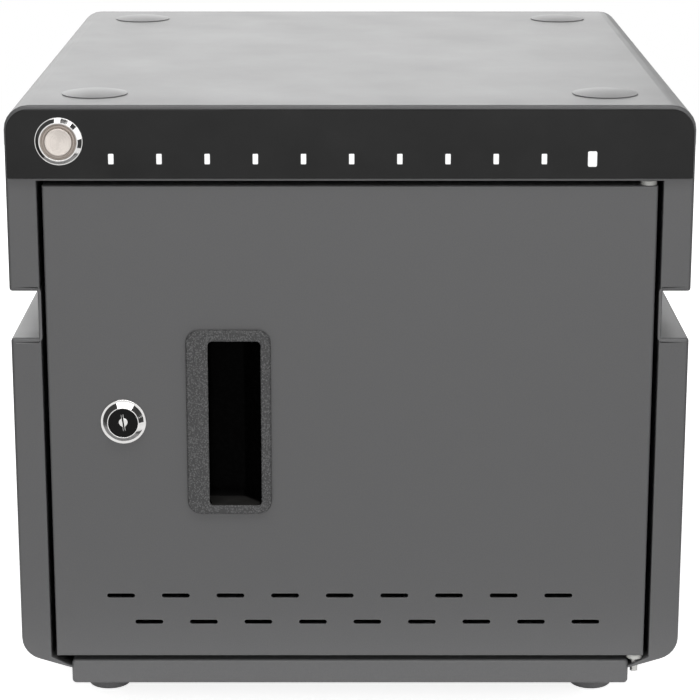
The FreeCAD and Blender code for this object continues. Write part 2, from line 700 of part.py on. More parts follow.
def make_button_switch():
    """Switch body behind the cap, with four terminals."""
    solid = rod_y(BUTTON_CAP_RADIUS - FIT, button_x, button_z, switch_front, barrel_back)
    end = barrel_back + SWITCH_LENGTH
    solid = solid.fuse(rod_y(SWITCH_RADIUS, button_x, button_z, barrel_back, end))
    reach = SWITCH_RADIUS / 2
    for dx in (-reach, reach):
        for dz in (-reach, reach):
            x, z = button_x + dx, button_z + dz
            solid = solid.fuse(plate_y(x, z, TERMINAL_WIDTH, TERMINAL_THICK, 0, end, end + TERMINAL_LENGTH))
    return solid


# Door, hinge, lock and handle

def handle_box():
    """The handle flange's edges on the door: left, right, lower and upper."""
    left = HANDLE_INSET - door_half
    floor = door_floor + HANDLE_RAISE
    return left, left + HANDLE_WIDTH, floor, floor + HANDLE_HEIGHT


def handle_body(gap, y0, y1):
    """The part of the handle cup that goes through the door, widened by gap."""
    left, right, floor, top = handle_box()
    inset = HANDLE_OVERLAP - gap
    corners = rectangle(left + inset, right - inset, floor + inset, top - inset)
    return prism_y(corners, [HANDLE_CORNER - HANDLE_OVERLAP] * len(corners), y0, y1)


def make_door_panel():
    """Pressed door: a face sheet with folded sides and a lip round the back."""
    solid = block(-door_half, door_half, front, door_back, door_floor, door_top)
    solid = rounded(solid, EDGE_ROUND, lambda box: box.YMax < front + SNAP)
    inner = door_half - SHEET
    mouth = door_half - DOOR_LIP
    solid = solid.cut(block(-inner, inner, front + SHEET, door_back - SHEET,
                            door_floor + SHEET, door_top - SHEET))
    solid = solid.cut(block(-mouth, mouth, front + SHEET, door_back + OVERRUN,
                            door_floor + DOOR_LIP, door_top - DOOR_LIP))
    y0, y1 = front - OVERRUN, front + SHEET + OVERRUN
    holes = [handle_body(FIT, y0, y1), rod_y(LOCK_BARREL_RADIUS + FIT, lock_x, lock_z, y0, y1)]
    first = VENT_CENTRE_SHIFT - (VENT_PITCH * (VENT_COUNT - 1) + VENT_ROW_SHIFT) / 2
    for shift, rise in ((0, VENT_UPPER_RAISE), (VENT_ROW_SHIFT, VENT_LOWER_RAISE)):
        holes += [slot_y(first + shift + VENT_PITCH * i, door_floor + rise, VENT_LENGTH, VENT_HEIGHT, y0, y1)
                  for i in range(VENT_COUNT)]
    for z in (door_floor, door_top):
        holes.append(rod_z(BUSH_RADIUS, hinge_x, hinge_y, z - OVERRUN, z + OVERRUN))
    return solid.cut(Part.makeCompound(holes))


def make_hinge_bushes():
    """Plastic bushes in the door's upper and lower folds, flanged to carry the door."""
    bore = PIN_RADIUS + RUNNING_FIT
    bushes = []
    for edge, outward in ((door_floor, -1), (door_top, 1)):
        flange = edge + outward * BUSH_FLANGE_THICK
        tail = edge - outward * (SHEET + BUSH_TAIL)
        bushes.append(turned_z([(bore, tail), (BUSH_RADIUS, tail), (BUSH_RADIUS, edge),
                                (BUSH_FLANGE_RADIUS, edge), (BUSH_FLANGE_RADIUS, flange), (bore, flange)],
                               hinge_x, hinge_y))
    return Part.makeCompound(bushes)


def make_lower_hinge_pin():
    """Pin fixed in the shell's bottom flange, standing up into the door."""
    return rod_z(PIN_RADIUS, hinge_x, hinge_y, shell_z - PIN_BELOW, door_floor + SHEET + PIN_REACH)


def make_upper_hinge_pin():
    """Headed pin dropped through the band's lip into the door."""
    solid = rod_z(PIN_RADIUS, hinge_x, hinge_y, door_top - SHEET - PIN_REACH, deck_z)
    return solid.fuse(rod_z(PIN_HEAD_RADIUS, hinge_x, hinge_y, deck_z, deck_z + PIN_HEAD_THICK))


def make_lock_housing():
    """Lock ring, a flat rim round a cone up to the plug, with a barrel through the door."""
    bore = PLUG_RADIUS + RUNNING_FIT
    end = cam_front - PLUG_END_GAP
    return turned_y([
        (bore, end), (LOCK_BARREL_RADIUS, end), (LOCK_BARREL_RADIUS, front), (LOCK_RING_RADIUS, front),
        (LOCK_RIM_OUTER_RADIUS, front - LOCK_RIM_PROUD), (LOCK_RIM_INNER_RADIUS, front - LOCK_RIM_PROUD),
        (LOCK_BEAD_RADIUS, front - LOCK_BEAD_PROUD), (bore, front - LOCK_BEAD_PROUD)], lock_x, lock_z)


def make_lock_nut():
    """Nut that clamps the lock behind the door's face."""
    y0 = front + SHEET
    solid = hexagon_y(LOCK_NUT_FLATS, lock_x, lock_z, y0, y0 + LOCK_NUT_THICK)
    return solid.cut(rod_y(LOCK_BARREL_RADIUS + FIT, lock_x, lock_z, y0 - OVERRUN, y0 + OVERRUN))


def make_lock_plug():
    """Turning plug with an upright keyway and a square tail for the cam."""
    face = front - PLUG_PROUD
    solid = rod_y(PLUG_RADIUS, lock_x, lock_z, face, cam_front)
    keyway = plate_y(lock_x, lock_z, KEYWAY_WIDTH, KEYWAY_HEIGHT, 0, face - OVERRUN, face + KEYWAY_DEPTH)
    core = rod_y(KEYWAY_CORE_RADIUS, lock_x, lock_z, face - OVERRUN, face + KEYWAY_DEPTH)
    solid = solid.cut(keyway.fuse(core))
    solid = solid.fuse(plate_y(lock_x, lock_z, CAM_SQUARE, CAM_SQUARE, 0, cam_front, cam_back))
    hole_end = cam_back - CAM_SCREW_LENGTH - FIT
    return solid.cut(rod_y(M4_RADIUS + FIT, lock_x, lock_z, hole_end, cam_back + OVERRUN))


def make_lock_cam():
    """Flat tongue that hangs down when the lock is open and swings behind the left strip."""
    half = CAM_WIDTH / 2
    corners = rectangle(lock_x - half, lock_x + half, lock_z - CAM_REACH, lock_z + half)
    head = half * CAM_HEAD_SHARE
    radii = [half / 2, half / 2, head, head]
    solid = prism_y(corners, radii, cam_front, cam_back)
    hole = CAM_SQUARE + 2 * RUNNING_FIT
    return solid.cut(plate_y(lock_x, lock_z, hole, hole, 0, cam_front - OVERRUN, cam_back + OVERRUN))


def make_cam_screw():
    """Screw that holds the cam on the plug."""
    return screw(M4_RADIUS, CAM_SCREW_LENGTH, M4_HEAD_RADIUS, M4_HEAD_HEIGHT,
                 (lock_x, cam_back, lock_z), (0, -1, 0))


def make_handle_cup():
    """Moulded recess: fingers reach in through the mouth and hook behind its left side."""
    left, right, floor, top = handle_box()
    face, end = front - HANDLE_FLANGE, front + HANDLE_DEPTH
    corners = rectangle(left, right, floor, top)
    flange = prism_y(corners, [HANDLE_CORNER] * len(corners), face, front)
    flange = rounded(flange, HANDLE_EDGE_ROUND, lambda box: box.YMax < face + SNAP)
    solid = flange.fuse(handle_body(0, front, end))
    mouth = rectangle(left + POCKET_LEFT, right - POCKET_RIGHT, floor + POCKET_FLOOR, top - POCKET_TOP)
    roof, deep = front + POCKET_ROOF, end - HANDLE_WALL
    solid = solid.cut(prism_y(mouth, [POCKET_CORNER] * len(mouth), face - OVERRUN, roof))
    hidden = left + HANDLE_OVERLAP + HANDLE_WALL
    near = right - POCKET_RIGHT
    points = [V(hidden, roof, floor + POCKET_FLOOR), V(near, roof, floor + POCKET_FLOOR),
              V(near - POCKET_TAPER, deep, floor + POCKET_FLOOR), V(hidden, deep, floor + POCKET_FLOOR)]
    pocket = Part.Face(Part.makePolygon(points + points[:1]))
    height = HANDLE_HEIGHT - POCKET_FLOOR - POCKET_TOP
    return solid.cut(pocket.extrude(V(0, 0, height))).removeSplitter()


# Device bay

def make_inner_liner():
    """Floor and both side walls of the device bay, bent from one sheet."""
    solid = block(-liner_half, liner_half, liner_front, bay_wall_back, liner_z, deck_z)
    return solid.cut(block(-bay_half, bay_half, liner_front - OVERRUN, bay_wall_back + OVERRUN,
                           bay_floor, deck_z + OVERRUN))


def make_inner_deck():
    """Sheet over the device bay that carries the front lights' wiring space."""
    solid = block(-liner_half, liner_half, front + DECK_SETBACK, bay_wall_back, deck_z, deck_z + SHEET)
    hole = DECK_HOLE_WIDTH / 2
    return solid.cut(block(-hole, hole, bay_back - DECK_HOLE_DEPTH, bay_back,
                           deck_z - OVERRUN, deck_z + OVERRUN))


def make_inner_rear_wall():
    """Back wall of the bay with a socket cut-out behind each slot and vents below."""
    solid = block(-bay_half, bay_half, bay_back, bay_wall_back, bay_floor, deck_z)
    y0, y1 = bay_back - OVERRUN, bay_wall_back + OVERRUN
    gap = 2 * FIT
    holes = [plate_y(x, port_z, PORT_WIDTH + gap, PORT_HEIGHT + gap, PORT_ROUND, y0, y1) for x in slot_xs]
    for row in range(BAY_VENT_ROWS):
        z = deck_z - BAY_VENT_DROP - BAY_VENT_PITCH * row
        holes += [slot_y(x, z, BAY_VENT_LENGTH, BAY_VENT_HEIGHT, y0, y1) for x in slot_xs]
    return solid.cut(Part.makeCompound(holes))


def divider_back():
    """Rear edge of the dividers, inside the comb's slots."""
    return bay_back - COMB_DEPTH + COMB_SLOT - FIT


def make_divider(x):
    """Plastic plate between two slots, with a round nose and openings for air."""
    y0, y1 = liner_front + DIVIDER_FRONT_GAP, divider_back()
    x0, x1 = x - DIVIDER_THICK / 2, x + DIVIDER_THICK / 2
    radii = [DIVIDER_CORNER, DIVIDER_CORNER, DIVIDER_CORNER, DIVIDER_NOSE]
    solid = prism_x(rectangle(y0, y1, divider_floor, divider_top), radii, x0, x1)
    half, tall = DIVIDER_SLOT_WIDTH / 2, DIVIDER_SLOT_HEIGHT / 2
    middle = (divider_floor + divider_top) / 2
    for share in DIVIDER_SLOT_SHARES:
        y = y0 + (y1 - y0) * share
        corners = rectangle(y - half, y + half, middle - tall, middle + tall)
        ends = [half * DIVIDER_SLOT_END_SHARE] * len(corners)
        solid = solid.cut(prism_x(corners, ends, x0 - OVERRUN, x1 + OVERRUN))
    return solid


def make_divider_rail(share):
    """Slotted rail across the bay's floor, at a share of the dividers' length."""
    y0, y1 = liner_front + DIVIDER_FRONT_GAP, divider_back()
    y = y0 + (y1 - y0) * share
    reach = bay_half - RAIL_SIDE_GAP
    top = bay_floor + RAIL_HEIGHT
    solid = block(-reach, reach, y - RAIL_WIDTH / 2, y + RAIL_WIDTH / 2, bay_floor, top)
    half = DIVIDER_THICK / 2 + FIT
    slots = [block(x - half, x + half, y - RAIL_WIDTH, y + RAIL_WIDTH, divider_floor, top + OVERRUN)
             for x in divider_xs]
    return solid.cut(Part.makeCompound(slots))


def make_back_comb():
    """Slotted comb on the bay's back wall that steadies the dividers."""
    reach = bay_half - RAIL_SIDE_GAP
    z1 = divider_top - COMB_DROP
    z0 = z1 - COMB_HEIGHT
    y0 = bay_back - COMB_DEPTH
    solid = block(-reach, reach, y0, bay_back, z0, z1)
    half = DIVIDER_THICK / 2 + FIT
    slots = [block(x - half, x + half, y0 - OVERRUN, y0 + COMB_SLOT, z0 - OVERRUN, z1 + OVERRUN)
             for x in divider_xs]
    return solid.cut(Part.makeCompound(slots))


# Charging electronics

def make_charging_sockets():
    """One charging socket behind each slot, standing on the charging board."""
    y0 = bay_back - PORT_PROUD
    sockets = []
    for x in slot_xs:
        solid = plate_y(x, port_z, PORT_WIDTH, PORT_HEIGHT, PORT_ROUND, y0, board_front)
        width, height = PORT_WIDTH - 2 * PORT_SKIN, PORT_HEIGHT - 2 * PORT_SKIN
        hollow = plate_y(x, port_z, width, height, PORT_ROUND - PORT_SKIN, y0 - OVERRUN, y0 + PORT_CAVITY)
        tongue = plate_y(x, port_z, PORT_TONGUE_WIDTH, PORT_TONGUE_THICK, 0,
                         y0 + PORT_TONGUE_SHORT, y0 + PORT_CAVITY)
        sockets.append(solid.cut(hollow.cut(tongue)))
    return Part.makeCompound(sockets)


def charging_board_edges():
    """Left, right, lower and upper edges of the charging board."""
    side = bay_half - BOARD_SIDE_GAP
    top = deck_z - BOARD_DROP
    return -side, side, top - BOARD_HEIGHT, top


def make_charging_board():
    """Circuit board with one choke for each socket."""
    left, right, floor, top = charging_board_edges()
    end = board_front + BOARD_THICK
    solid = block(left, right, board_front, end, floor, top)
    z = port_z - COIL_SIZE
    chokes = [plate_y(x, z, COIL_SIZE, COIL_SIZE, COIL_SIZE / 5, end, end + COIL_HEIGHT) for x in slot_xs]
    return solid.multiFuse(chokes)


def make_charging_board_posts():
    """Posts between the bay's back wall and the charging board."""
    left, right, floor, top = charging_board_edges()
    xs = (left + BOARD_POST_INSET, (left + right) / 2, right - BOARD_POST_INSET)
    zs = (floor + BOARD_POST_INSET, top - BOARD_POST_INSET)
    return Part.makeCompound([rod_y(POST_RADIUS, x, z, bay_wall_back, board_front)
                              for x in xs for z in zs])


def psu_edges():
    """Left, right, lower and upper edges of the power supply."""
    left = PSU_SIDE_GAP - bay_half
    right = fan_x - FAN_SIZE / 2 - PSU_FAN_GAP
    floor = bay_floor + PSU_RAISE
    return left, right, floor, floor + PSU_HEIGHT


def make_psu_chassis():
    """Tray of the power supply on the back of the bay's wall."""
    left, right, floor, top = psu_edges()
    y0, y1 = bay_wall_back, bay_wall_back + PSU_DEPTH
    solid = block(left, right, y0, y1, floor, top)
    return solid.cut(block(left + PSU_WALL, right - PSU_WALL, y0 + PSU_WALL, y1 + OVERRUN,
                           floor + PSU_WALL, top - PSU_WALL))


def make_psu_cover():
    """Slotted cover of the power supply."""
    left, right, floor, top = psu_edges()
    y0 = bay_wall_back + PSU_DEPTH
    solid = block(left, right, y0, y0 + PSU_WALL, floor, top)
    step = (right - left) / (PSU_VENT_COUNT + 1)
    middle = (floor + top) / 2
    slots = [plate_y(left + step * (i + 1), middle, PSU_VENT_WIDTH, PSU_VENT_HEIGHT, PSU_VENT_WIDTH / 3,
                     y0 - OVERRUN, y0 + OVERRUN) for i in range(PSU_VENT_COUNT)]
    return solid.cut(Part.makeCompound(slots))


def make_psu_board():
    """Circuit board of the power supply on four posts."""
    left, right, floor, top = psu_edges()
    inset = PSU_WALL + PSU_BOARD_INSET
    y0 = bay_wall_back + PSU_WALL
    y1 = y0 + PSU_BOARD_STAND
    solid = block(left + inset, right - inset, y1, y1 + BOARD_THICK, floor + inset, top - inset)
    reach = inset + 2 * POST_RADIUS
    xs, zs = (left + reach, right - reach), (floor + reach, top - reach)
    return solid.multiFuse([rod_y(POST_RADIUS, x, z, y0, y1) for x in xs for z in zs])


def make_psu_transformer():
    """Wound core of the power supply, standing on its board."""
    left, right, floor, top = psu_edges()
    y0 = bay_wall_back + PSU_WALL + PSU_BOARD_STAND + BOARD_THICK
    x, z = (left + right) / 2, (floor + top) / 2
    core = plate_y(x, z, TRANSFORMER_LENGTH, TRANSFORMER_HEIGHT, 0, y0, y0 + TRANSFORMER_DEPTH)
    winding = TRANSFORMER_LENGTH / 2
    notch = TRANSFORMER_HEIGHT / 6
    for side in (-1, 1):
        edge = z + side * TRANSFORMER_HEIGHT / 2
        core = core.cut(plate_y(x, edge, winding, notch, 0, y0 - OVERRUN, y0 + TRANSFORMER_DEPTH + OVERRUN))
    return core


# Back of the cabinet

def fan_hole_places():
    """The fan's four corner holes, as (x, z)."""
    reach = FAN_HOLE_PITCH / 2
    return [(fan_x + sx * reach, fan_z + sz * reach) for sx in (-1, 1) for sz in (-1, 1)]


def inlet_screw_places():
    """The two screws beside the mains inlet, as (x, z)."""
    return [(fan_x + side * INLET_SCREW_PITCH / 2, inlet_z) for side in (-1, 1)]


def inlet_corners(inset):
    """Inlet outline with two bevelled upper corners, drawn in by inset."""
    half, rise = INLET_WIDTH / 2 - inset, INLET_HEIGHT / 2 - inset
    top = inlet_z + rise
    bevel = INLET_BEVEL - inset / 2
    return [(fan_x - half, inlet_z - rise), (fan_x + half, inlet_z - rise), (fan_x + half, top - bevel),
            (fan_x + half - bevel, top), (fan_x - half + bevel, top), (fan_x - half, top - bevel)]


def inlet_prism(inset, y0, y1):
    """Prism of the inlet's outline."""
    corners = inlet_corners(inset)
    return prism_y(corners, [0] * len(corners), y0, y1)


def make_rear_panel():
    """Flat panel screwed over the back, with vents, the fan's opening and the inlet's cut-out."""
    solid = shell_outline_prism(PANEL_INSET, panel_front, back)
    y0, y1 = panel_front - OVERRUN, back + OVERRUN
    holes = [rod_y(M3_RADIUS + FIT, x, z, y0, y1) for x, z in panel_screw_places()]
    holes += [rod_y(M4_RADIUS + FIT, x, z, y0, y1) for x, z in fan_hole_places()]
    holes += [rod_y(M3_RADIUS + FIT, x, z, y0, y1) for x, z in inlet_screw_places()]
    holes += [rod_y(FAN_BORE_RADIUS, fan_x, fan_z, y0, y1), inlet_prism(-FIT, y0, y1)]
    step = PANEL_VENT_LENGTH + PANEL_VENT_GAP
    for row in range(PANEL_VENT_ROWS):
        z = HEIGHT - PANEL_VENT_DROP - PANEL_VENT_PITCH * row
        for column in range(PANEL_VENT_COLUMNS):
            x = step * (column - (PANEL_VENT_COLUMNS - 1) / 2)
            holes.append(slot_y(x, z, PANEL_VENT_LENGTH, PANEL_VENT_HEIGHT, y0, y1))
    return solid.cut(Part.makeCompound(holes))


def make_rear_panel_screws():
    """Screws round the rear panel."""
    return Part.makeCompound([
        screw(M3_RADIUS, PANEL_SCREW_LENGTH, M3_HEAD_RADIUS, M3_HEAD_HEIGHT, (x, back, z), (0, -1, 0))
        for x, z in panel_screw_places()])


def make_fan_housing():
    """Square fan frame with a spider and a fixed shaft."""
    y0, y1 = panel_front - FAN_DEPTH, panel_front
    solid = plate_y(fan_x, fan_z, FAN_SIZE, FAN_SIZE, FAN_CORNER, y0, y1)
    solid = solid.cut(rod_y(FAN_BORE_RADIUS, fan_x, fan_z, y0 - OVERRUN, y1 + OVERRUN))
    spider_back = y0 + FAN_SPIDER
    strut = FAN_BORE_RADIUS + FAN_SIZE / 2
    spider = [rod_y(FAN_HUB_RADIUS, fan_x, fan_z, y0, spider_back),
              rod_y(FAN_SHAFT_RADIUS, fan_x, fan_z, y0, spider_back + FAN_SHAFT_LENGTH),
              plate_y(fan_x, fan_z, FAN_STRUT_WIDTH, strut, 0, y0, spider_back),
              plate_y(fan_x, fan_z, strut, FAN_STRUT_WIDTH, 0, y0, spider_back)]
    solid = solid.multiFuse(spider)
    holes = [rod_y(M4_RADIUS + FIT, x, z, y0 - OVERRUN, y1 + OVERRUN) for x, z in fan_hole_places()]
    return solid.cut(Part.makeCompound(holes))


def make_fan_rotor():
    """Hub with pitched blades on the fan's shaft."""
    y0 = panel_front - FAN_DEPTH + FAN_SPIDER + FAN_END_GAP
    y1 = panel_front - FAN_BACK_GAP
    hub = rod_y(FAN_HUB_RADIUS, fan_x, fan_z, y0, y1)
    tip = FAN_BORE_RADIUS - FAN_TIP_GAP
    middle = (y0 + y1) / 2
    sweep = rod_y(tip, fan_x, fan_z, y0, y1)
    chord, thick = BLADE_CHORD / 2, BLADE_THICK / 2
    blades = []
    for i in range(FAN_BLADES):
        blade = block(0, FAN_BORE_RADIUS, -chord, chord, -thick, thick)
        blade.rotate(V(0, 0, 0), V(1, 0, 0), BLADE_ANGLE)
        blade.rotate(V(0, 0, 0), V(0, 1, 0), 360 * i / FAN_BLADES)
        blade.translate(V(fan_x, middle, fan_z))
        blades.append(blade.common(sweep))
    solid = hub.multiFuse(blades)
    bore = FAN_SHAFT_RADIUS + RUNNING_FIT
    return solid.cut(rod_y(bore, fan_x, fan_z, y0 - OVERRUN, y0 + FAN_SHAFT_LENGTH))


def make_fan_guard():
    """Wire finger guard: rings welded on four spokes that end in screw ears."""
    wire = GUARD_WIRE_RADIUS
    spoke_y = back + wire
    ring_y = spoke_y + wire * GUARD_LIFT_SHARE
    step = (FAN_BORE_RADIUS - wire - GUARD_FIRST_RADIUS) / (GUARD_RINGS - 1)
    wires = []
    for i in range(GUARD_RINGS):
        radius = GUARD_FIRST_RADIUS + step * i
        wires.append(Part.makeTorus(radius, wire, V(fan_x, ring_y, fan_z), V(0, 1, 0)))
    for x, z in fan_hole_places():
        out = V(x - fan_x, 0, z - fan_z)
        reach = out.Length - GUARD_EAR_RADIUS
        out.normalize()
        start = V(fan_x, spoke_y, fan_z) + out * (GUARD_FIRST_RADIUS - wire)
        wires.append(Part.makeCylinder(wire, reach - GUARD_FIRST_RADIUS + wire, start, out))
        wires.append(Part.makeTorus(GUARD_EAR_RADIUS, wire, V(x, spoke_y, z), V(0, 1, 0)))
    return wires[0].multiFuse(wires[1:])


def make_fan_screws():
    """Screws through the guard's ears and the panel into the fan."""
    seat = back + 2 * GUARD_WIRE_RADIUS
    return Part.makeCompound([
        screw(M4_RADIUS, FAN_SCREW_LENGTH, M4_HEAD_RADIUS, M4_HEAD_HEIGHT, (x, seat, z), (0, -1, 0))
        for x, z in fan_hole_places()])


def make_power_inlet():
    """Mains inlet: flanged socket with three blades and three solder tags."""
    y0, y1 = panel_front - INLET_DEPTH, back + INLET_FLANGE_THICK
    solid = inlet_prism(0, y0, back)
    solid = solid.fuse(plate_y(fan_x, inlet_z, INLET_FLANGE_WIDTH, INLET_FLANGE_HEIGHT,
                               INLET_FLANGE_CORNER, back, y1))
    floor = y1 - INLET_CAVITY
    solid = solid.cut(inlet_prism(INLET_WALL, floor, y1 + OVERRUN))
    low, high = -BLADE_PIN_STEP / 2, BLADE_PIN_STEP
    tip = floor + BLADE_PIN_LENGTH
    for dx, dz in ((-BLADE_PIN_PITCH, low), (BLADE_PIN_PITCH, low), (0, high)):
        x, z = fan_x + dx, inlet_z + dz
        solid = solid.fuse(plate_y(x, z, BLADE_PIN_WIDTH, BLADE_PIN_HEIGHT, 0, floor, tip))
        solid = solid.fuse(plate_y(x, z, TERMINAL_THICK, BLADE_PIN_HEIGHT, 0, y0 - TERMINAL_LENGTH, y0))
    holes = [rod_y(M3_RADIUS + FIT, x, z, back - OVERRUN, y1 + OVERRUN) for x, z in inlet_screw_places()]
    return solid.cut(Part.makeCompound(holes))


def make_inlet_screws():
    """Two screws through the inlet's flange."""
    seat = back + INLET_FLANGE_THICK
    return Part.makeCompound([
        screw(M3_RADIUS, INLET_SCREW_LENGTH, M3_HEAD_RADIUS, M3_HEAD_HEIGHT, (x, seat, z), (0, -1, 0))
        for x, z in inlet_screw_places()])


# Assembly
corner_names = ("front_left", "front_right", "rear_left", "rear_right")
nodes = {
    "outer_shell": make_outer_shell(),
    "base_pan": make_base_pan(),
    "foot_screws": make_foot_screws(),
    "stacking_pads": Part.makeCompound([make_stacking_pad(x, y) for x, y in pad_places()]),
    "front_fascia": make_front_fascia(),
    "light_pipes": make_light_pipes(),
    "board_leds": make_board_leds(),
    "led_board": make_led_board(),
    "led_board_posts": make_led_board_posts(),
    "button_bezel": make_button_bezel(),
    "button_light_ring": make_button_light_ring(),
    "button_cap": make_button_cap(),
    "button_nut": make_button_nut(),
    "button_switch": make_button_switch(),
    "door_panel": make_door_panel(),
    "hinge_bushes": make_hinge_bushes(),
    "lower_hinge_pin": make_lower_hinge_pin(),
    "upper_hinge_pin": make_upper_hinge_pin(),
    "lock_housing": make_lock_housing(),
    "lock_nut": make_lock_nut(),
    "lock_plug": make_lock_plug(),
    "lock_cam": make_lock_cam(),
    "cam_screw": make_cam_screw(),
    "handle_cup": make_handle_cup(),
    "inner_liner": make_inner_liner(),
    "inner_deck": make_inner_deck(),
    "inner_rear_wall": make_inner_rear_wall(),
    "front_divider_rail": make_divider_rail(RAIL_SHARES[0]),
    "rear_divider_rail": make_divider_rail(RAIL_SHARES[1]),
    "back_comb": make_back_comb(),
    "charging_sockets": make_charging_sockets(),
    "charging_board": make_charging_board(),
    "charging_board_posts": make_charging_board_posts(),
    "psu_chassis": make_psu_chassis(),
    "psu_cover": make_psu_cover(),
    "psu_board": make_psu_board(),
    "psu_transformer": make_psu_transformer(),
    "rear_panel": make_rear_panel(),
    "rear_panel_screws": make_rear_panel_screws(),
    "fan_housing": make_fan_housing(),
    "fan_rotor": make_fan_rotor(),
    "fan_guard": make_fan_guard(),
    "fan_screws": make_fan_screws(),
    "power_inlet": make_power_inlet(),
    "inlet_screws": make_inlet_screws(),
}
for name, (x, y) in zip(corner_names, pad_places()):
    nodes["foot_" + name] = make_foot(x, y)
for number, x in enumerate(divider_xs, start=1):
    nodes["divider_%d" % number] = make_divider(x)

os.makedirs("parts", exist_ok=True)
for name, shape in nodes.items():
    shape.exportStep("parts/%s.step" % name)
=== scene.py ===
"""Looks of the desktop charging cabinet: a finish for every solid of the frame, worked-out surfaces for
the case, plinth, button, lock, handle, lights, pads, feet and fan, and a pale studio with the camera.

Metres, +Z up, the door faces -Y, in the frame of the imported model.
"""
import json
import math

import bmesh
import bpy
import numpy as np
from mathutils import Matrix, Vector


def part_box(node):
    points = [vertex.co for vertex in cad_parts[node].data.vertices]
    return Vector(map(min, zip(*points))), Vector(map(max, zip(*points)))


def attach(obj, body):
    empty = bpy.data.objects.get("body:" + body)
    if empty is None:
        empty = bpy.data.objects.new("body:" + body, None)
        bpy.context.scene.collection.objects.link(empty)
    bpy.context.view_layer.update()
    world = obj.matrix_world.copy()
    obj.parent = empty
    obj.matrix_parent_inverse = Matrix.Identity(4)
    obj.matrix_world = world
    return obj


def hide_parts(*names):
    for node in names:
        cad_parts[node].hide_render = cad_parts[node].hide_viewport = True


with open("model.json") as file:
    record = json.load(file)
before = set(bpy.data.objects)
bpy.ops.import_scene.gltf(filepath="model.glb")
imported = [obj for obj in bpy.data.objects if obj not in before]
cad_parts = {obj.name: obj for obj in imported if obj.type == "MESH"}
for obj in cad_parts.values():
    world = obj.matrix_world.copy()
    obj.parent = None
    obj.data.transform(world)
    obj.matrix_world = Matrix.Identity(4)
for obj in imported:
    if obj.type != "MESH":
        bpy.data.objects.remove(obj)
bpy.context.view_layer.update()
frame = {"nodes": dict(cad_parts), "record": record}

# Camera, from the photographed corners of the case
CAMERA_PLACE = (0.0, -1.424, 0.526)
CAMERA_PITCH = 0.2589          # radians below the horizon
CAMERA_LENS = 126.9            # millimetres, on a sensor 36 wide

# Mesh fineness and tolerances
MERGE = 1e-6
AROUND = 128                   # points round a turned piece
ROUNDING_STEPS = 7             # points on a rounded corner
SHARP_ANGLE = math.radians(32)
CAP_SUPPORT_SHARE = 0.93


# Surfaces

def softened(corners, radii, steps=ROUNDING_STEPS, support=0.0):
    """Profile whose corners are rounded to circles. A corner that turns by an angle w gives way to the cubic
    curve that starts r tan(w/2) before it, ends as far after it and has handles 4/3 r tan(w/4) long. With a
    support, one more point that far out on each side keeps the straight runs flat in shading.
    """
    corners, radii = np.asarray(corners, float), np.asarray(radii, float)[:, None]
    ahead = np.roll(corners, -1, axis=0) - corners
    ahead /= np.linalg.norm(ahead, axis=1, keepdims=True)
    back = np.roll(ahead, 1, axis=0)
    turn = np.arccos(np.clip((ahead * back).sum(axis=1, keepdims=True), -1, 1))
    reach, handle = radii * np.tan(turn / 2), 4 / 3 * radii * np.tan(turn / 4)
    a, b = (corners - reach * back)[:, None], (corners + reach * ahead)[:, None]
    c, d = a + (handle * back)[:, None], b - (handle * ahead)[:, None]
    t = np.linspace(0, 1, steps)[None, :, None]
    curve = (1 - t) ** 3 * a + 3 * t * (1 - t) ** 2 * c + 3 * t ** 2 * (1 - t) * d + t ** 3 * b
    if support:
        before, after = a - support * back[:, None], b + support * ahead[:, None]
        curve = np.concatenate([before, curve, after], axis=1)
    return curve.reshape(-1, 2)


def drawn_in(corners, radii, amount):
    """Closed or open outline moved inwards by an amount: each corner goes along (n + m) / (1 + n.m), n and m
    being its edges' inward normals, and its radius shrinks where it bulges out and grows where it turns in.
    The outline runs clockwise seen from the front, and the amount may differ from corner to corner.
    """
    corners, radii = np.asarray(corners, float), np.asarray(radii, float)
    ahead = np.roll(corners, -1, axis=0) - corners
    ahead /= np.linalg.norm(ahead, axis=1, keepdims=True)
    back = np.roll(ahead, 1, axis=0)
    normal_ahead = np.stack([ahead[:, 1], -ahead[:, 0]], -1)
    normal_back = np.roll(normal_ahead, 1, axis=0)
    share = 1 + (normal_ahead * normal_back).sum(axis=1, keepdims=True)
    bulge = np.sign(back[:, 1] * ahead[:, 0] - back[:, 0] * ahead[:, 1])
    amount = np.broadcast_to(amount, radii.shape)
    moved = corners + amount[:, None] * (normal_ahead + normal_back) / share
    return moved, np.maximum(radii - bulge * amount, 0)


def turned(profile, centre, upright=False, around=AROUND):
    """Profile of (radius, height) carried round an axis: r cos(angle) and r sin(angle) across it and the
    height along it. The axis runs along Y through centre = (x, z), or upright through centre = (x, y).
    """
    angle = np.linspace(0, 2 * np.pi, around, endpoint=False)
    radius, height = np.asarray(profile, float).T[:, :, None]
    across = centre[0] + radius * np.cos(angle)
    other = centre[1] + radius * np.sin(angle)
    along = np.broadcast_to(height, across.shape)
    return np.stack([across, other, along] if upright else [across, along, other], -1)


def rounded_loop(left, right, low, high, corner, y, steps=ROUNDING_STEPS):
    """Loop at depth y round a rectangle with rounded corners: four quarter circles about the corner
    centres, each a quarter turn after the last.
    """
    quarter = np.linspace(0, np.pi / 2, steps)
    angle = (np.arange(4)[:, None] * np.pi / 2 + quarter).ravel()
    middle_x = np.repeat([right - corner, left + corner, left + corner, right - corner], steps)
    middle_z = np.repeat([high - corner, high - corner, low + corner, low + corner], steps)
    x = middle_x + corner * np.cos(angle)
    z = middle_z + corner * np.sin(angle)
    return np.stack([x, np.full_like(x, y), z], -1)


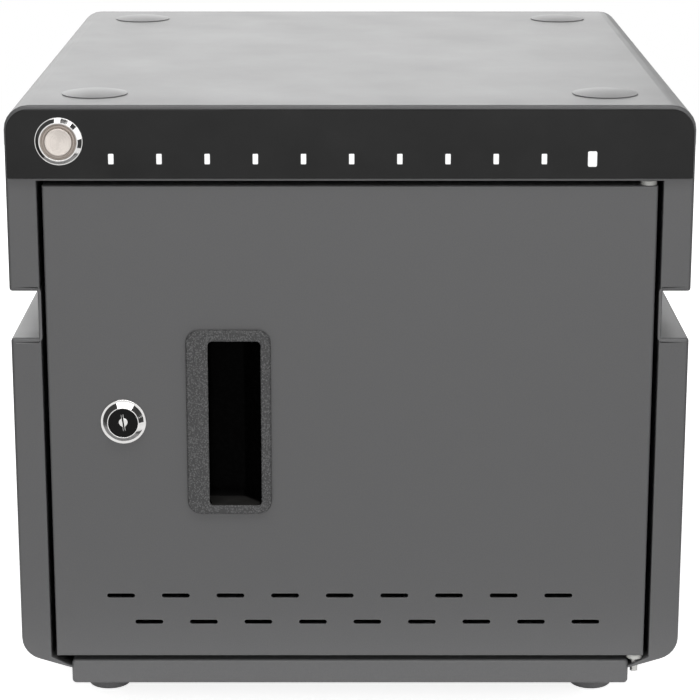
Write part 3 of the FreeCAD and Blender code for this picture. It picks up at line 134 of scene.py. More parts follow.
def grid_faces(rows, columns, closed, joined):
    """Quads between neighbouring rows of points. Columns join round when joined, and rows when closed."""
    row = np.arange(rows if closed else rows - 1)[:, None]
    column = np.arange(columns if joined else columns - 1)[None, :]
    after, below = (column + 1) % columns, (row + 1) % rows
    quads = [row * columns + column, row * columns + after, below * columns + after, below * columns + column]
    return np.stack(quads, -1).reshape(-1, 4)


def end_cap(loop):
    """Rows that close the end of a loft: the loop's middle, then the loop drawn in a little, which keeps the
    cap flat in shading.
    """
    middle = loop.mean(axis=0)
    return np.stack([np.broadcast_to(middle, loop.shape), middle + CAP_SUPPORT_SHARE * (loop - middle)])


def skin(*parts, closed=False, capped=False, joined=True):
    """Vertices and quads of several point grids (rows x columns x 3). Capped grids end in a middle point."""
    vertices, faces, count = [], [], 0
    for points in parts:
        if capped:
            points = np.concatenate([end_cap(points[0]), points, end_cap(points[-1])[::-1]])
        rows, columns = points.shape[:2]
        vertices.append(points.reshape(-1, 3))
        faces.append(grid_faces(rows, columns, closed, joined) + count)
        count += rows * columns
    return np.concatenate(vertices), np.concatenate(faces)


def piece(name, surface, body, nodes, finish, sharp=SHARP_ANGLE):
    """Mesh object from (vertices, quads), merged at poles and seams, facing outwards, riding on its body."""
    vertices, faces = surface
    mesh = bpy.data.meshes.new(name)
    mesh.from_pydata(vertices, [], faces)
    shell = bmesh.new()
    shell.from_mesh(mesh)
    bmesh.ops.remove_doubles(shell, verts=shell.verts, dist=MERGE)
    bmesh.ops.dissolve_degenerate(shell, edges=shell.edges, dist=MERGE)
    bmesh.ops.recalc_face_normals(shell, faces=shell.faces)
    shell.to_mesh(mesh)
    shell.free()
    mesh.shade_smooth()
    mesh.set_sharp_from_angle(angle=sharp)
    mesh.materials.append(finish)
    made = bpy.data.objects.new(name, mesh)
    bpy.context.scene.collection.objects.link(made)
    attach(made, body)
    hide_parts(*nodes)
    return made


# Shader building blocks

def add(tree, kind, inputs=None, **settings):
    """Node of that kind with its settings, and its inputs as values or as sockets to link from."""
    made = tree.nodes.new(kind)
    for name, value in settings.items():
        setattr(made, name, value)
    for name, value in (inputs or {}).items():
        if isinstance(value, bpy.types.NodeSocket):
            tree.links.new(value, made.inputs[name])
        else:
            made.inputs[name].default_value = value
    return made


def math_node(tree, operation, *values):
    """Result of one arithmetic step on values or sockets."""
    return add(tree, "ShaderNodeMath", dict(enumerate(values)), operation=operation).outputs[0]


def remap(tree, value, low, high, new_low, new_high):
    """Value from one range to another, held inside the new one."""
    return add(tree, "ShaderNodeMapRange", {
        "Value": value, "From Min": low, "From Max": high, "To Min": new_low, "To Max": new_high}).outputs[0]


def effect_group(name, inputs, outputs):
    """Empty shader group with float inputs (name: default) and float outputs."""
    tree = bpy.data.node_groups.new(name, "ShaderNodeTree")
    for label, default in inputs.items():
        socket = tree.interface.new_socket(label, in_out="INPUT", socket_type="NodeSocketFloat")
        socket.default_value = default
    for label in outputs:
        tree.interface.new_socket(label, in_out="OUTPUT", socket_type="NodeSocketFloat")
    given = tree.nodes.new("NodeGroupInput").outputs
    result = tree.nodes.new("NodeGroupOutput").inputs
    place = tree.nodes.new("ShaderNodeTexCoord").outputs["Object"]
    return tree, given, result, place


def noise(tree, place, scale, detail=2.0, roughness=0.5):
    """Noise value on a place, 0 to 1."""
    return add(tree, "ShaderNodeTexNoise", {
        "Vector": place, "Scale": scale, "Detail": detail, "Roughness": roughness}).outputs["Fac"]


def make_paint_grain():
    """Fine grit and slow orange peel of a powder coat: 0.6 grit + 0.4 peel as a height, grit as a tone."""
    tree, given, result, place = effect_group(
        "paint_grain", {"Grit Scale": 1600.0, "Peel Scale": 320.0}, ("Height", "Tone"))
    grit = noise(tree, place, given["Grit Scale"], 3.0, 0.6)
    peel = noise(tree, place, given["Peel Scale"], 1.0, 0.4)
    mixed = math_node(tree, "MULTIPLY_ADD", grit, 0.6, math_node(tree, "MULTIPLY", peel, 0.4))
    tree.links.new(mixed, result["Height"])
    tree.links.new(remap(tree, grit, 0.3, 0.7, 0.0, 1.0), result["Tone"])
    return tree


def make_edge_highlight_and_wear():
    """Mask that is 1 on edges, for rubbed wear and a painted highlight along the folds: how far the rounded
    normal leaves the true one, broken up by noise.
    """
    tree, given, result, place = effect_group(
        "edge_highlight_and_wear", {"Width": 0.0008, "Amount": 1.0, "Break Scale": 90.0}, ("Mask",))
    soft = add(tree, "ShaderNodeBevel", {"Radius": given["Width"]}, samples=4).outputs[0]
    true = add(tree, "ShaderNodeNewGeometry").outputs["Normal"]
    agreement = add(tree, "ShaderNodeVectorMath", {0: soft, 1: true}, operation="DOT_PRODUCT").outputs
    edge = remap(tree, agreement["Value"], 0.995, 0.85, 0.0, 1.0)
    rubbed = remap(tree, noise(tree, place, given["Break Scale"], 3.0), 0.35, 0.65, 0.25, 1.0)
    both = math_node(tree, "MULTIPLY", edge, rubbed)
    tree.links.new(math_node(tree, "MULTIPLY", both, given["Amount"]), result["Mask"])
    return tree


def make_settled_dust():
    """Mask of dust on faces that look up: the normal's rise, times slow noise, times the amount."""
    tree, given, result, place = effect_group(
        "settled_dust", {"Amount": 0.1, "Cloud Scale": 14.0}, ("Mask",))
    normal = add(tree, "ShaderNodeNewGeometry").outputs["Normal"]
    rise = add(tree, "ShaderNodeSeparateXYZ", {"Vector": normal}).outputs["Z"]
    level = remap(tree, rise, 0.6, 0.98, 0.0, 1.0)
    cloud = remap(tree, noise(tree, place, given["Cloud Scale"], 5.0, 0.65), 0.35, 0.7, 0.2, 1.0)
    both = math_node(tree, "MULTIPLY", level, cloud)
    tree.links.new(math_node(tree, "MULTIPLY", both, given["Amount"]), result["Mask"])
    return tree


def make_handling():
    """Roughness that wanders between two values in hand-sized patches, with finer smears inside them."""
    tree, given, result, place = effect_group(
        "handling", {"Smooth": 0.3, "Rough": 0.45, "Patch Scale": 22.0}, ("Roughness",))
    patch = noise(tree, place, given["Patch Scale"], 4.0, 0.6)
    share = remap(tree, patch, 0.3, 0.7, 0.0, 1.0)
    span = math_node(tree, "SUBTRACT", given["Rough"], given["Smooth"])
    tree.links.new(math_node(tree, "MULTIPLY_ADD", share, span, given["Smooth"]), result["Roughness"])
    return tree


def make_moulded_grain():
    """Pebbled mould texture: rounded cells of a Voronoi pattern, lifted most at their middles."""
    tree, given, result, place = effect_group(
        "moulded_grain", {"Cell Scale": 900.0}, ("Height", "Tone"))
    cells = add(tree, "ShaderNodeTexVoronoi", {
        "Vector": place, "Scale": given["Cell Scale"], "Smoothness": 0.4, "Randomness": 1.0},
        feature="SMOOTH_F1").outputs["Distance"]
    dome = remap(tree, cells, 0.0, 0.8, 1.0, 0.0)
    blotch = noise(tree, place, math_node(tree, "MULTIPLY", given["Cell Scale"], 0.35), 2.0)
    uneven = remap(tree, blotch, 0.3, 0.7, 0.4, 1.0)
    tree.links.new(math_node(tree, "MULTIPLY", dome, uneven), result["Height"])
    tree.links.new(remap(tree, dome, 0.3, 0.9, 0.0, 1.0), result["Tone"])
    return tree


def make_turning_marks():
    """Concentric lathe lines about the Y axis through (Middle X, Middle Z): a sine of the distance from the
    axis, its strength varied by noise that follows the distance alone.
    """
    tree, given, result, place = effect_group(
        "turning_marks", {"Middle X": 0.0, "Middle Z": 0.0, "Line Scale": 30000.0}, ("Height", "Tone"))
    parts = add(tree, "ShaderNodeSeparateXYZ", {"Vector": place}).outputs
    dx = math_node(tree, "SUBTRACT", parts["X"], given["Middle X"])
    dz = math_node(tree, "SUBTRACT", parts["Z"], given["Middle Z"])
    squares = math_node(tree, "MULTIPLY_ADD", dx, dx, math_node(tree, "MULTIPLY", dz, dz))
    radius = math_node(tree, "SQRT", squares)
    wave = math_node(tree, "SINE", math_node(tree, "MULTIPLY", radius, given["Line Scale"]))
    drift = add(tree, "ShaderNodeTexNoise", {"W": radius, "Scale": 4000.0, "Detail": 3.0},
                noise_dimensions="1D").outputs["Fac"]
    tree.links.new(math_node(tree, "MULTIPLY", wave, drift), result["Height"])
    tree.links.new(remap(tree, drift, 0.3, 0.7, 0.0, 1.0), result["Tone"])
    return tree


def make_brushed_lines():
    """Straight brushing along X: noise squeezed across the brushing and stretched along it."""
    tree, given, result, place = effect_group(
        "brushed_lines", {"Line Scale": 3000.0, "Stretch": 0.02}, ("Height", "Tone"))
    parts = add(tree, "ShaderNodeSeparateXYZ", {"Vector": place}).outputs
    along = math_node(tree, "MULTIPLY", parts["X"], given["Stretch"])
    squeezed = add(tree, "ShaderNodeCombineXYZ", {"X": along, "Y": parts["Y"], "Z": parts["Z"]}).outputs[0]
    lines = noise(tree, squeezed, given["Line Scale"], 2.0, 0.6)
    tree.links.new(lines, result["Height"])
    tree.links.new(remap(tree, lines, 0.3, 0.7, 0.0, 1.0), result["Tone"])
    return tree


paint_grain = make_paint_grain()
edge_highlight_and_wear = make_edge_highlight_and_wear()
settled_dust = make_settled_dust()
handling = make_handling()
moulded_grain = make_moulded_grain()
turning_marks = make_turning_marks()
brushed_lines = make_brushed_lines()


def new_finish(name, **shader_values):
    """Material with a Principled shader whose plain sockets are set (spaces as underscores)."""
    material = bpy.data.materials.new(name)
    material.use_nodes = True
    tree = material.node_tree
    shader = tree.nodes["Principled BSDF"]
    for socket, value in shader_values.items():
        shader.inputs[socket.replace("_", " ")].default_value = value
    return material, tree, shader.inputs


def use(tree, group, **values):
    """The group placed in a material with its own values; returns its outputs."""
    placed = add(tree, "ShaderNodeGroup", node_tree=group)
    for socket, value in values.items():
        placed.inputs[socket.replace("_", " ")].default_value = value
    return placed.outputs


def tint(tree, mask, plain, marked):
    """Colour that goes from plain to marked with the mask."""
    return add(tree, "ShaderNodeMix", {0: mask, 6: (*plain, 1), 7: (*marked, 1)}, data_type="RGBA").outputs[2]


def overlay(tree, mask, under, colour):
    """A colour laid over a linked one where the mask says."""
    return add(tree, "ShaderNodeMix", {0: mask, 6: under, 7: (*colour, 1)}, data_type="RGBA").outputs[2]


def relief(tree, height, shader, depth, strength):
    """Bump of that depth in metres on the shader's normal."""
    bump = add(tree, "ShaderNodeBump", {"Height": height, "Distance": depth, "Strength": strength})
    tree.links.new(bump.outputs[0], shader["Normal"])


# Finishes

def paint(name, dark, light, dust):
    """Satin powder coat: fine grit, slightly paler edges that are partly rubbed wear and partly a painted
    highlight, a breath of dust on top.
    """
    material, tree, shader = new_finish(name, IOR=1.5, Specular_IOR_Level=0.6)
    grain = use(tree, paint_grain)
    colour = tint(tree, grain["Tone"], dark, light)
    worn_and_highlit = use(tree, edge_highlight_and_wear, Width=0.0009, Amount=0.6)
    # paler edge colour: partly rubbed wear, partly a painted highlight along the folds
    colour = overlay(tree, worn_and_highlit["Mask"], colour, tuple(2.2 * c for c in light))
    settled = use(tree, settled_dust, Amount=dust)
    colour = overlay(tree, settled["Mask"], colour, (0.55, 0.54, 0.52))
    tree.links.new(colour, shader["Base Color"])
    tree.links.new(use(tree, handling, Smooth=0.39, Rough=0.43)["Roughness"], shader["Roughness"])
    relief(tree, grain["Height"], shader, 0.00012, 0.35)
    return material


def gloss_black():
    """Polished black acrylic with faint wiping smears."""
    material, tree, shader = new_finish("fascia_black", IOR=1.49, Specular_IOR_Level=0.33)
    smooth, rough = 0.06, 0.16
    smear = use(tree, handling, Smooth=smooth, Rough=rough, Patch_Scale=35.0)["Roughness"]
    share = remap(tree, smear, smooth, rough, 0.0, 1.0)
    colour = tint(tree, share, (0.004, 0.004, 0.004), (0.009, 0.009, 0.009))
    tree.links.new(colour, shader["Base Color"])
    tree.links.new(smear, shader["Roughness"])
    return material


def painted_glow_window():
    """Milky light pipe with a painted glow that makes it read bright white, its colour and glow varying a
    little in patches.
    """
    # the emission is a painted glow on windows that are no lamp
    material, tree, shader = new_finish("light_white", Emission_Strength=0.55, Roughness=0.25)
    cloud = noise(tree, add(tree, "ShaderNodeTexCoord").outputs["Object"], 700.0)
    colour = tint(tree, remap(tree, cloud, 0.3, 0.7, 0.0, 1.0), (0.56, 0.57, 0.57), (0.62, 0.62, 0.62))
    painted_glow = tint(tree, remap(tree, cloud, 0.3, 0.7, 0.0, 1.0), (0.94, 0.95, 0.95), (1.0, 1.0, 1.0))
    tree.links.new(colour, shader["Base Color"])
    tree.links.new(painted_glow, shader["Emission Color"])
    return material


def plated(name, colour, smooth, rough):
    """Bright plating with wandering polish and fine pitting."""
    material, tree, shader = new_finish(name, Metallic=1.0)
    polish = use(tree, handling, Smooth=smooth, Rough=rough, Patch_Scale=160.0)["Roughness"]
    pits = use(tree, paint_grain, Grit_Scale=5000.0, Peel_Scale=900.0)
    shade = tint(tree, pits["Tone"], tuple(0.94 * c for c in colour), colour)
    tree.links.new(shade, shader["Base Color"])
    tree.links.new(polish, shader["Roughness"])
    relief(tree, pits["Height"], shader, 0.00001, 0.2)
    return material


def spun_steel(name, colour, middle):
    """Steel faced on a lathe: fine rings about the piece's own axis."""
    material, tree, shader = new_finish(name, Metallic=1.0, Anisotropic=0.75)
    rings = use(tree, turning_marks, Middle_X=middle[0], Middle_Z=middle[1])
    shade = tint(tree, rings["Tone"], tuple(0.9 * c for c in colour), colour)
    tree.links.new(shade, shader["Base Color"])
    tree.links.new(remap(tree, rings["Tone"], 0.0, 1.0, 0.26, 0.36), shader["Roughness"])
    relief(tree, rings["Height"], shader, 0.00003, 0.3)
    along = add(tree, "ShaderNodeTangent", direction_type="RADIAL", axis="Y").outputs[0]
    tree.links.new(along, shader["Tangent"])
    return material


def brushed(name, colour, smooth, rough):
    """Sheet steel brushed one way."""
    material, tree, shader = new_finish(name, Metallic=1.0)
    lines = use(tree, brushed_lines)
    shade = tint(tree, lines["Tone"], tuple(0.85 * c for c in colour), colour)
    tree.links.new(shade, shader["Base Color"])
    tree.links.new(remap(tree, lines["Tone"], 0.0, 1.0, smooth, rough), shader["Roughness"])
    relief(tree, lines["Height"], shader, 0.00003, 0.3)
    return material


def plastic(name, dark, light, cell_scale, depth, smooth, rough, strength=0.5, gloss=0.5):
    """Moulded plastic or rubber with a pebbled grain and handled patches."""
    material, tree, shader = new_finish(name, IOR=1.5, Specular_IOR_Level=gloss)
    grain = use(tree, moulded_grain, Cell_Scale=cell_scale)
    colour = tint(tree, grain["Tone"], dark, light)
    settled = use(tree, settled_dust, Amount=0.08)
    colour = overlay(tree, settled["Mask"], colour, (0.45, 0.44, 0.42))
    tree.links.new(colour, shader["Base Color"])
    tree.links.new(use(tree, handling, Smooth=smooth, Rough=rough)["Roughness"], shader["Roughness"])
    relief(tree, grain["Height"], shader, depth, strength)
    return material


def circuit_board():
    """Green solder mask with darker gaps between copper runs and a fine weave below it."""
    material, tree, shader = new_finish("board_green", IOR=1.5)
    place = add(tree, "ShaderNodeTexCoord").outputs["Object"]
    runs = add(tree, "ShaderNodeTexBrick", {
        "Vector": place, "Scale": 60.0, "Mortar Size": 0.03, "Color1": (0.012, 0.10, 0.035, 1),
        "Color2": (0.016, 0.13, 0.05, 1), "Mortar": (0.006, 0.05, 0.02, 1)}).outputs
    weave = use(tree, brushed_lines, Line_Scale=2500.0, Stretch=0.4)
    tree.links.new(overlay(tree, math_node(tree, "MULTIPLY", weave["Tone"], 0.15), runs["Color"],
                           (0.05, 0.2, 0.1)), shader["Base Color"])
    tree.links.new(use(tree, handling, Smooth=0.2, Rough=0.34)["Roughness"], shader["Roughness"])
    relief(tree, runs["Fac"], shader, 0.00005, 0.3)
    return material


def axis_of(node):
    """(x, z) of the middle of a turned node."""
    low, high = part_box(node)
    return (low.x + high.x) / 2, (low.z + high.z) / 2


def half_width(node):
    """Half of a node's width along X."""
    low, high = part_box(node)
    return (high.x - low.x) / 2


finishes = {
    "case_paint": paint("case_paint", (0.094, 0.094, 0.096), (0.108, 0.108, 0.110), 0.006),
    "door_paint": paint("door_paint", (0.092, 0.092, 0.094), (0.106, 0.106, 0.108), 0.006),
    "inner_paint": paint("inner_paint", (0.084, 0.084, 0.086), (0.1, 0.1, 0.102), 0.06),
    "fascia_black": gloss_black(),
    "light_white": painted_glow_window(),
    "chrome_trim": plated("chrome_trim", (0.86, 0.85, 0.84), 0.04, 0.1),
    "brushed_steel": brushed("brushed_steel", (0.66, 0.65, 0.63), 0.24, 0.38),
    "zinc_steel": plated("zinc_steel", (0.58, 0.59, 0.61), 0.28, 0.42),
    "plug_black": plastic("plug_black", (0.004, 0.004, 0.004), (0.010, 0.009, 0.009), 2500.0, 0.00002,
                          0.2, 0.3, gloss=0.12),
    "ring_frost": plastic("ring_frost", (0.47, 0.41, 0.365), (0.56, 0.49, 0.44), 2600.0, 0.00002, 0.35, 0.5),
    "handle_plastic": plastic("handle_plastic", (0.042, 0.042, 0.043), (0.145, 0.145, 0.146), 1150.0, 0.0004,
                              0.34, 0.46, 1.0),
    "pad_grey": plastic("pad_grey", (0.19, 0.19, 0.193), (0.22, 0.22, 0.223), 1800.0, 0.00004, 0.36, 0.46),
    # feet: base colour kept lighter than the rubber's own grey, as painted bounce light where the plinth
    # shades them
    "foot_rubber": plastic("foot_rubber", (0.15, 0.15, 0.152), (0.19, 0.19, 0.192), 1500.0, 0.00008,
                           0.6, 0.75),
    "rack_plastic": plastic("rack_plastic", (0.035, 0.035, 0.037), (0.05, 0.05, 0.052), 1300.0, 0.00008,
                            0.45, 0.6),
    "bush_plastic": plastic("bush_plastic", (0.46, 0.46, 0.44), (0.54, 0.54, 0.52), 1800.0, 0.00004,
                            0.35, 0.5),
    "fan_plastic": plastic("fan_plastic", (0.012, 0.012, 0.013), (0.022, 0.022, 0.023), 1500.0, 0.00006,
                           0.4, 0.55),
    "guard_wire": plated("guard_wire", (0.74, 0.74, 0.75), 0.1, 0.2),
    "inlet_plastic": plastic("inlet_plastic", (0.012, 0.012, 0.012), (0.02, 0.02, 0.02), 1500.0, 0.00006,
                             0.35, 0.5),
    "board_green": circuit_board(),
    "core_ferrite": plastic("core_ferrite", (0.05, 0.05, 0.055), (0.085, 0.085, 0.09), 1100.0, 0.0001,
                            0.5, 0.7),
}

for part in frame["record"]["subparts"]:
    frame["nodes"][part["node"]].material_slots[0].material = finishes[part["material_slot"]]


# Case

SHEET = 0.0012
FRONT_FOLD = 0.0018            # rounding of the case's folded front edges
STRIP_FOLD = 0.0006            # rounding of the strips' folds into the doorway
STRIP_LIP = 0.018              # how far the strips turn back into the doorway
DOORWAY_GAP = 0.0028           # door's edge to the strips
FASCIA_RAISE = 0.0015          # edge of the band up to the fascia
TOP_CORNER = 0.0125
BOTTOM_CORNER = 0.0125
GROOVE_DROP = 0.0963           # top sheet down to the grip groove
GROOVE_HEIGHT = 0.0248
GROOVE_DEPTH = 0.0144
GROOVE_FOLD = 0.0016
FLANGE_GAP = 0.0004            # bottom flange to the plinth
FLANGE_DROP = 0.0034           # how far the bottom flange slopes down to the plinth
FLANGE_SLOPE = 0.3
SUPPORT = 0.0005               # extra rows beside a fold keep the flats flat in shading
PLINTH_INSET = 0.0262          # side of the case to the end of the plinth
PLINTH_HEIGHT = 0.0134
PLINTH_CORNER = 0.0022
PLINTH_FOLD = 0.0014


def case_outline(inset):
    """Open outline of the case, from the left bottom flange up, over the top and down to the right one, with
    both grip grooves, drawn in by inset but by no more than the sheet at the flanges' ends.
    """
    low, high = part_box("outer_shell")
    end = PLINTH_INSET + low.x - FLANGE_GAP
    groove_top = high.z - GROOVE_DROP
    groove_floor = groove_top - GROOVE_HEIGHT
    wall = low.x + GROOVE_DEPTH
    end_z = low.z - FLANGE_DROP
    left = [(end, end_z), (low.x, end_z + FLANGE_SLOPE * (end - low.x)), (low.x, groove_floor),
            (wall, groove_floor), (wall, groove_top), (low.x, groove_top), (low.x, high.z)]
    radii = [0, BOTTOM_CORNER, GROOVE_FOLD, GROOVE_FOLD - SHEET, GROOVE_FOLD - SHEET, GROOVE_FOLD, TOP_CORNER]
    corners = left + [(-x, z) for x, z in reversed(left)]
    amount = np.full(len(corners), inset)
    amount[[0, -1]] = min(inset, SHEET)
    return softened(*drawn_in(corners, radii + radii[::-1], amount), support=SUPPORT)


def make_case():
    """Wrapped sheet: the outline carried forward from the rear panel, over the front fold (sine and cosine of
    a quarter turn), across the strips and the band to the doorway, and back round its edge. The doorway's
    edge is the outline held inside the doorway's rectangle, grown by what is left of its own small fold.
    """
    low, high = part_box("outer_shell")
    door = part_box("door_panel")[1].x + DOORWAY_GAP
    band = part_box("front_fascia")[0].z - FASCIA_RAISE
    turn = np.linspace(0, np.pi / 2, 2 * ROUNDING_STEPS)

    def folded(y, inset):
        x, z = case_outline(inset).T
        least = np.minimum(door + STRIP_FOLD, np.abs(flat_x))
        x = np.where(z < band, np.sign(x) * np.maximum(np.abs(x), least), x)
        return np.stack([x, np.full_like(x, y), z], -1)

    def doorway(y, grow):
        x, z = case_outline(FRONT_FOLD).T
        edge = np.minimum(door + grow, np.abs(flat_x))
        x = np.clip(x, -edge, edge)
        return np.stack([x, np.full_like(x, y), np.minimum(z, band + grow)], -1)

    flat_x = case_outline(0.0)[:, 0]
    rows = [folded(high.y, 0.0), folded(low.y + FRONT_FOLD + SUPPORT, 0.0)]
    rows += [folded(low.y + FRONT_FOLD * (1 - np.sin(a)), FRONT_FOLD * (1 - np.cos(a))) for a in turn]
    rows += [folded(low.y, FRONT_FOLD + SUPPORT), doorway(low.y, STRIP_FOLD + SUPPORT)]
    rows += [doorway(low.y + STRIP_FOLD * (1 - np.cos(a)), STRIP_FOLD * (1 - np.sin(a))) for a in turn]
    rows += [doorway(low.y + STRIP_FOLD + SUPPORT, 0.0), doorway(low.y + STRIP_LIP, 0.0)]
    made = piece("wrapped_case", skin(np.stack(rows), joined=False), "cabinet", ["outer_shell"],
                 finishes["case_paint"])
    wall = made.modifiers.new("sheet", "SOLIDIFY")
    wall.thickness, wall.offset = SHEET / 2, -1.0


def make_plinth():
    """Plinth of the base: a rounded rectangle carried from the back to the front, drawn in over its front
    fold by the sine and cosine of a quarter turn.
    """
    low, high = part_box("base_pan")
    half = half_width("outer_shell") - PLINTH_INSET
    top = low.z + PLINTH_HEIGHT

    def loop(y, inset):
        return rounded_loop(-half + inset, half - inset, low.z + inset, top - inset, PLINTH_CORNER, y)

    turn = np.linspace(0, np.pi / 2, ROUNDING_STEPS)
    rows = [loop(high.y, 0.0), loop(low.y + PLINTH_FOLD + SUPPORT, 0.0)]
    rows += [loop(low.y + PLINTH_FOLD * (1 - np.sin(a)), PLINTH_FOLD * (1 - np.cos(a))) for a in turn]
    piece("plinth_tray", skin(np.stack(rows), capped=True), "cabinet", ["base_pan"],
          finishes["case_paint"])


# Power button

BARREL_RADIUS = 0.0095
BEZEL_RIM = 0.0006             # outer edge of the bezel over the fascia
BEZEL_LAND = 0.0004            # flat edge round the bevel
BEZEL_LIP = 0.0099             # radius where the bevel ends
BEZEL_BREAK = 0.0001           # broken edges of the bezel
BEZEL_BORE_BREAK = 0.00012
RING_GROOVE_WIDTH = 0.0007     # dark groove between the lip and the light ring
RING_GROOVE_SHARE = 0.7        # of the ring's thickness
RING_SHOULDER = 0.0011
RING_FALL = 0.0003             # the light ring leans in to the cap
RING_FOOT_ROUND = 0.0001
RING_TOP_ROUND = 0.0004
RING_BORE_ROUND = 0.0002
CAP_RIM = 0.0008               # width of the cap's raised rim
CAP_DISH = 0.00018             # drop from the rim, and the hollow of the face
CAP_ROUND = 0.0005
CAP_BREAK = 0.0001
CAP_COLOUR = (0.68, 0.625, 0.58)
RUNNING_GAP = 0.00005


def make_button():
    """Bezel, light ring and cap, each a profile turned about the button's axis. The cap's face is dished by
    the square of the radius inside a small raised rim.
    """
    centre = axis_of("button_bezel")
    lip, back = (corner.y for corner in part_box("button_bezel"))
    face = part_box("front_fascia")[0].y
    ring_front, seat = (corner.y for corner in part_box("button_light_ring"))
    cap_front, cap_back = (corner.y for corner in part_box("button_cap"))
    flange, ring, cap = (half_width("button_" + part) for part in ("bezel", "light_ring", "cap"))
    bore = cap + RUNNING_GAP
    rim = face - BEZEL_RIM
    corners = [(bore, back), (BARREL_RADIUS, back), (BARREL_RADIUS, face), (flange, face), (flange, rim),
               (flange - BEZEL_LAND, rim), (BEZEL_LIP, lip), (ring, lip), (ring, seat), (bore, seat)]
    bezel = softened(corners, (0, 0, 0, 0, *[BEZEL_BREAK] * 3, BEZEL_BORE_BREAK, 0, 0))
    piece("turned_bezel", skin(turned(bezel, centre), closed=True), "cabinet", ["button_bezel"],
          finishes["chrome_trim"])
    groove = ring_front + RING_GROOVE_SHARE * (seat - ring_front)
    corners = [(bore, seat), (ring, seat), (ring, groove), (ring - RING_GROOVE_WIDTH, groove),
               (ring - RING_SHOULDER, ring_front), (bore, ring_front + RING_FALL)]
    frosted = softened(corners, (0, 0, 0, RING_FOOT_ROUND, RING_TOP_ROUND, RING_BORE_ROUND))
    piece("frosted_ring", skin(turned(frosted, centre), closed=True), "cabinet", ["button_light_ring"],
          finishes["ring_frost"])
    inner, floor = cap - CAP_RIM, cap_front + CAP_DISH
    corners = [(0, cap_back), (cap, cap_back), (cap, cap_front), (inner, cap_front), (inner, floor)]
    edge = softened(corners, (0, CAP_BREAK, CAP_ROUND, CAP_BREAK, 0))
    radius = np.linspace(inner, 0, 24)
    hollow = np.stack([radius, floor + CAP_DISH * (1 - (radius / inner) ** 2)], -1)
    piece("spun_cap", skin(turned(np.concatenate([edge, hollow]), centre)), "power_button", ["button_cap"],
          spun_steel("spun_steel", CAP_COLOUR, centre))


# Lock

LOCK_BARREL_RADIUS = 0.0093
LOCK_RIM_PROUD = 0.0010
LOCK_RIM_OUTER = 0.0118
LOCK_RIM_INNER = 0.0106
LOCK_BEAD_RADIUS = 0.0082
LOCK_BEAD_PROUD = 0.0034
LOCK_BREAK = 0.0001            # broken edges of the ring
LOCK_RIM_ROUND = 0.0003
LOCK_BEAD_ROUND = 0.0002
KEYWAY_HALF_WIDTH = 0.00095
KEYWAY_HALF_HEIGHT = 0.0044
KEYWAY_CORE = 0.0025
KEYWAY_LEAN = math.radians(7)  # its top stands to the left
KEYWAY_DEPTH = 0.013
KEYWAY_BREAK = 0.0002          # broken edge of the keyhole
SHUTTER_SLIT = 0.0004          # half width of the slit between the shutter's leaves
SHUTTER_SINK = 0.0004
SHUTTER_THICK = 0.0008
SHUTTER_REACH = 0.98           # share of the keyway's height
SHUTTER_CROWN = 0.0003
PLUG_RADIUS = 0.0077
PLUG_PROUD = 0.0029
PLUG_EDGE = 0.0004
TAIL_SQUARE = 0.0035           # half of the square that drives the cam
TAIL_EDGE = 0.0004


def around_keyway():
    """Angles round the lock's axis, from the leaning top of the keyway on, clockwise."""
    return np.linspace(0, 2 * np.pi, 2 * AROUND, endpoint=False)


def polar_loop(centre, radius, y):
    """Loop at depth y from a radius for each of those angles: x by the sine, z by the cosine."""
    angle = around_keyway() - KEYWAY_LEAN
    x, z = centre[0] + radius * np.sin(angle), centre[1] + radius * np.cos(angle)
    return np.stack([x, np.full_like(x, y), z], -1)


def keyhole(grow=0.0):
    """Keyhole as a radius for each angle: the larger of the core's circle and the slot, whose radius is the
    lesser of half width / |sin| and half height / |cos|.
    """
    sine, cosine = np.abs(np.sin(around_keyway())) + MERGE, np.abs(np.cos(around_keyway())) + MERGE
    slot = np.minimum(KEYWAY_HALF_WIDTH / sine, KEYWAY_HALF_HEIGHT / cosine)
    return np.maximum(KEYWAY_CORE, slot) + grow


def shutter_leaf(centre, y, side):
    """Leaf behind the keyhole: at height h it goes from the slit to the keyhole's edge, the larger of the
    half chord (the root of core^2 - h^2) and the slot's half width, and it is crowned by the square of the
    share across. The whole leans with the keyway.
    """
    height = np.linspace(-SHUTTER_REACH, SHUTTER_REACH, 61)[:, None] * KEYWAY_HALF_HEIGHT
    chord = np.sqrt(np.maximum(KEYWAY_CORE ** 2 - height ** 2, KEYWAY_HALF_WIDTH ** 2))
    share = np.linspace(0, 1, 9)
    across = np.concatenate([share, share[::-1]])[None, :]
    front = np.repeat([True, False], len(share))[None, :]
    reach = side * (SHUTTER_SLIT + (chord - SHUTTER_SLIT) * across)
    depth = y + np.where(front, SHUTTER_CROWN * across ** 2, SHUTTER_THICK) + 0 * height
    x = centre[0] + reach * math.cos(KEYWAY_LEAN) - height * math.sin(KEYWAY_LEAN)
    z = centre[1] + reach * math.sin(KEYWAY_LEAN) + height * math.cos(KEYWAY_LEAN)
    return np.stack([x, depth, z], -1)


